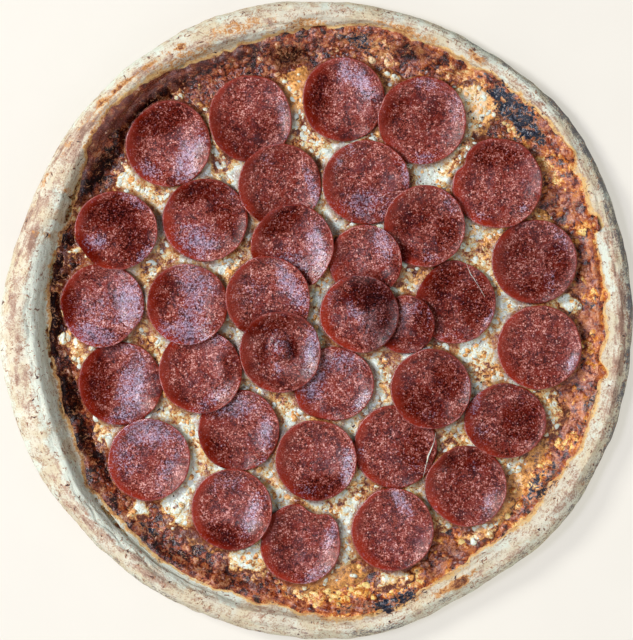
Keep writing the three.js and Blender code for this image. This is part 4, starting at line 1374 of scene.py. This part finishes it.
def scatter(places, heights, sizes, squash, seed):
    """Rough little lumps, half sunk, at places in plan: their points and faces."""
    ball = bmesh.new()
    bmesh.ops.create_icosphere(ball, subdivisions=2, radius=1)
    round_points = np.array([vertex.co[:] for vertex in ball.verts])
    round_faces = np.array([[vertex.index for vertex in face.verts] for face in ball.faces])
    ball.free()
    count = len(places)
    chance = np.random.default_rng(seed)
    turn = chance.uniform(0, 2 * math.pi, count)[:, None]
    stretch = chance.uniform(0.7, 1.4, count)
    shape = round_points[None] * np.stack([stretch, 1 / stretch, np.full(count, squash)], axis=1)[:, None]
    own_places = round_points[None] + 7.0 * np.arange(count)[:, None, None]
    shape = shape * (1 + 0.35 * lumps(own_places, 0.9, seed))[..., None]
    x = shape[..., 0] * np.cos(turn) - shape[..., 1] * np.sin(turn)
    y = shape[..., 0] * np.sin(turn) + shape[..., 1] * np.cos(turn)
    points = np.stack([x, y, shape[..., 2]], axis=-1) * sizes[:, None, None]
    points += at_level(places, heights)[:, None]
    faces = round_faces[None] + (np.arange(count) * len(round_points))[:, None, None]
    return points.reshape(-1, 3), faces.reshape(-1, 3)


def choose(grid, wanted, count, seed):
    """Places in plan, drawn at random with the wanted chance in each cell, and what drew them."""
    chance = np.random.default_rng(seed)
    cells = chance.choice(len(wanted), count, p=wanted / wanted.sum())
    return grid.plan[cells] + chance.uniform(-CELL / 2, CELL / 2, (count, 2)), chance


def make_curds(grid, height, wanted, material):
    """Bits of curd on the cheese."""
    places, chance = choose(grid, wanted, CURD_COUNT, 82)
    sizes = chance.uniform(0.4, 1.0, CURD_COUNT)**1.3 * CURD_LARGEST
    points, faces = scatter(places, grid.read(height, places) - 0.22 * sizes, sizes, 0.4, 83)
    own = np.repeat(chance.uniform(0, 1, CURD_COUNT), len(points) // CURD_COUNT)
    nothing = np.zeros(len(points))
    make_piece("cheese_curds", points, faces, material, "cheese", white=0.2 + 0.6 * (own > 0.4),
               yellow=0.9 * (own < 0.3), brown=0.3 * (own < 0.15), oil=nothing, char=nothing)


def make_crumbs(grid, bed, wanted, material):
    """Lumps in the sauce."""
    places, chance = choose(grid, wanted, CRUMB_COUNT, 84)
    sizes = chance.uniform(0.35, 1.0, CRUMB_COUNT)**1.5 * CRUMB_LARGEST
    points, faces = scatter(places, grid.read(bed, places) - 0.2 * sizes, sizes, 0.42, 85)
    own = np.repeat(chance.uniform(0, 1, CRUMB_COUNT), len(points) // CRUMB_COUNT)
    angle, radius = angle_of(points), np.linalg.norm(points[:, :2], axis=1)
    # The crumbs take the sauce's painted light and painted shadow too.
    make_piece("sauce_crumbs", points, faces, material, "sauce", bits=own, low=np.zeros(len(own)),
               light=sunny_side(angle), cheesy=np.clip(browning(angle, radius) + 0.4 * (own > 0.85), 0, 1),
               dark=0.8 * shading(angle, radius), mauve=0.3 * (own > 0.5), char=charring(angle, radius))


def make_herbs(grid, height, wanted):
    """Flecks of dried herb on the cheese."""
    places, chance = choose(grid, wanted, HERB_COUNT, 86)
    sizes = chance.uniform(0.3, 0.6, HERB_COUNT)
    points, faces = scatter(places, grid.read(height, places) + 0.1, sizes, 0.35, 87)
    make_piece("herb_flecks", points, faces, herb_look(), "cheese")


def make_thread(grid, roof, places, thick):
    """A thread that lies along places over whatever is there: its rings, with a pole at each end."""
    share = np.linspace(0, len(places) - 1, THREAD_RINGS * len(places))
    plan = np.column_stack([np.interp(share, np.arange(len(places)), places[:, axis]) for axis in (0, 1)])
    sway = at_level(plan)
    plan = plan + THREAD_SWAY * np.column_stack([rough(sway, 5, 88), rough(sway, 5, 89)])
    level = grid.read(roof, plan)
    level = np.maximum(level, np.convolve(np.pad(level, 3, mode="edge"), np.ones(7) / 7, mode="valid"))
    way = np.gradient(plan, axis=0)
    beside = np.column_stack([-way[:, 1], way[:, 0]]) / np.linalg.norm(way, axis=1, keepdims=True)
    wide = thick / 2 * (1 + 0.4 * rough(sway, 3, 90))
    wide = wide * ease(0, 3, share) * ease(share[-1], share[-1] - 3, share)
    turns = np.radians(np.arange(THREAD_SIDES) * 360 / THREAD_SIDES)
    rings = [at_level(plan[:1], level[0])]
    for middle, side, half, height in zip(plan, beside, np.maximum(wide, THREAD_THINNEST), level):
        around = middle + side * (half * np.cos(turns))[:, None]
        rings.append(at_level(around, height + half * (0.5 + np.sin(turns))))
    return rings + [at_level(plan[-1:], level[-1])]


def make_threads(grid, height, slices, material):
    """Threads of pulled cheese over the slices."""
    roof = height.copy()
    for piece in slices:
        close = grid.near(piece)
        close = close[piece.inside(grid.plan[close]) > -0.4]
        plan = grid.plan[close]
        top = piece.underside(plan) + SLICE_THICK + piece.relief(plan, slices)
        roof[close] = np.maximum(roof[close], top)
    rings, faces = [], []
    for places, thick in THREADS:
        thread = make_thread(grid, roof, np.array(places), thick)
        faces.append(weave(thread, count_points(rings)))
        rings += thread
    points = np.concatenate(rings)
    nothing = np.zeros(len(points))
    make_piece("cheese_threads", points, np.concatenate(faces), material, "cheese", white=nothing + 1,
               yellow=nothing, brown=nothing, oil=nothing, char=nothing)


# ---------------------------------------------------------------- the pizza

def make_pizza():
    """All pieces, from the crust up."""
    make_crust(dough_look())
    sauce_material = sauce_look()
    sauce = make_sauce(sauce_material)
    slices = [Slice(number) for number in range(1, SLICE_COUNT + 1)]
    pepperoni = pepperoni_look()
    for piece in slices:
        make_slice(piece, slices, pepperoni)
    cheese_material = cheese_look()
    grid, bed, height, cover, nearest = make_cheese(slices, sauce, cheese_material)

    line = np.interp(grid.angle, SPOKE_ANGLES, SAUCE_EDGE, period=360)
    open_air = (nearest > 0.3) * 1.0
    clumps = ease(-0.5, 0.6, rough(at_level(grid.plan), 6, 81))
    make_curds(grid, height, open_air * ease(0.4, 0.8, cover) * (0.25 + clumps), cheese_material)
    wanted = open_air * ease(0.6, 0.2, cover) * ease(2.0, 7.0, line - grid.radius)
    wanted = wanted * (grid.radius > CRUMBS_OUTSIDE)
    wanted = wanted * (0.2 + clumps) * (0.35 + 0.65 * sunny_side(grid.angle))
    make_crumbs(grid, bed, wanted, sauce_material)
    make_herbs(grid, height, open_air * ease(0.5, 0.9, cover) * (grid.radius < HERBS_INSIDE))
    make_threads(grid, height, slices, cheese_material)


make_camera()
make_surroundings()
make_pizza()
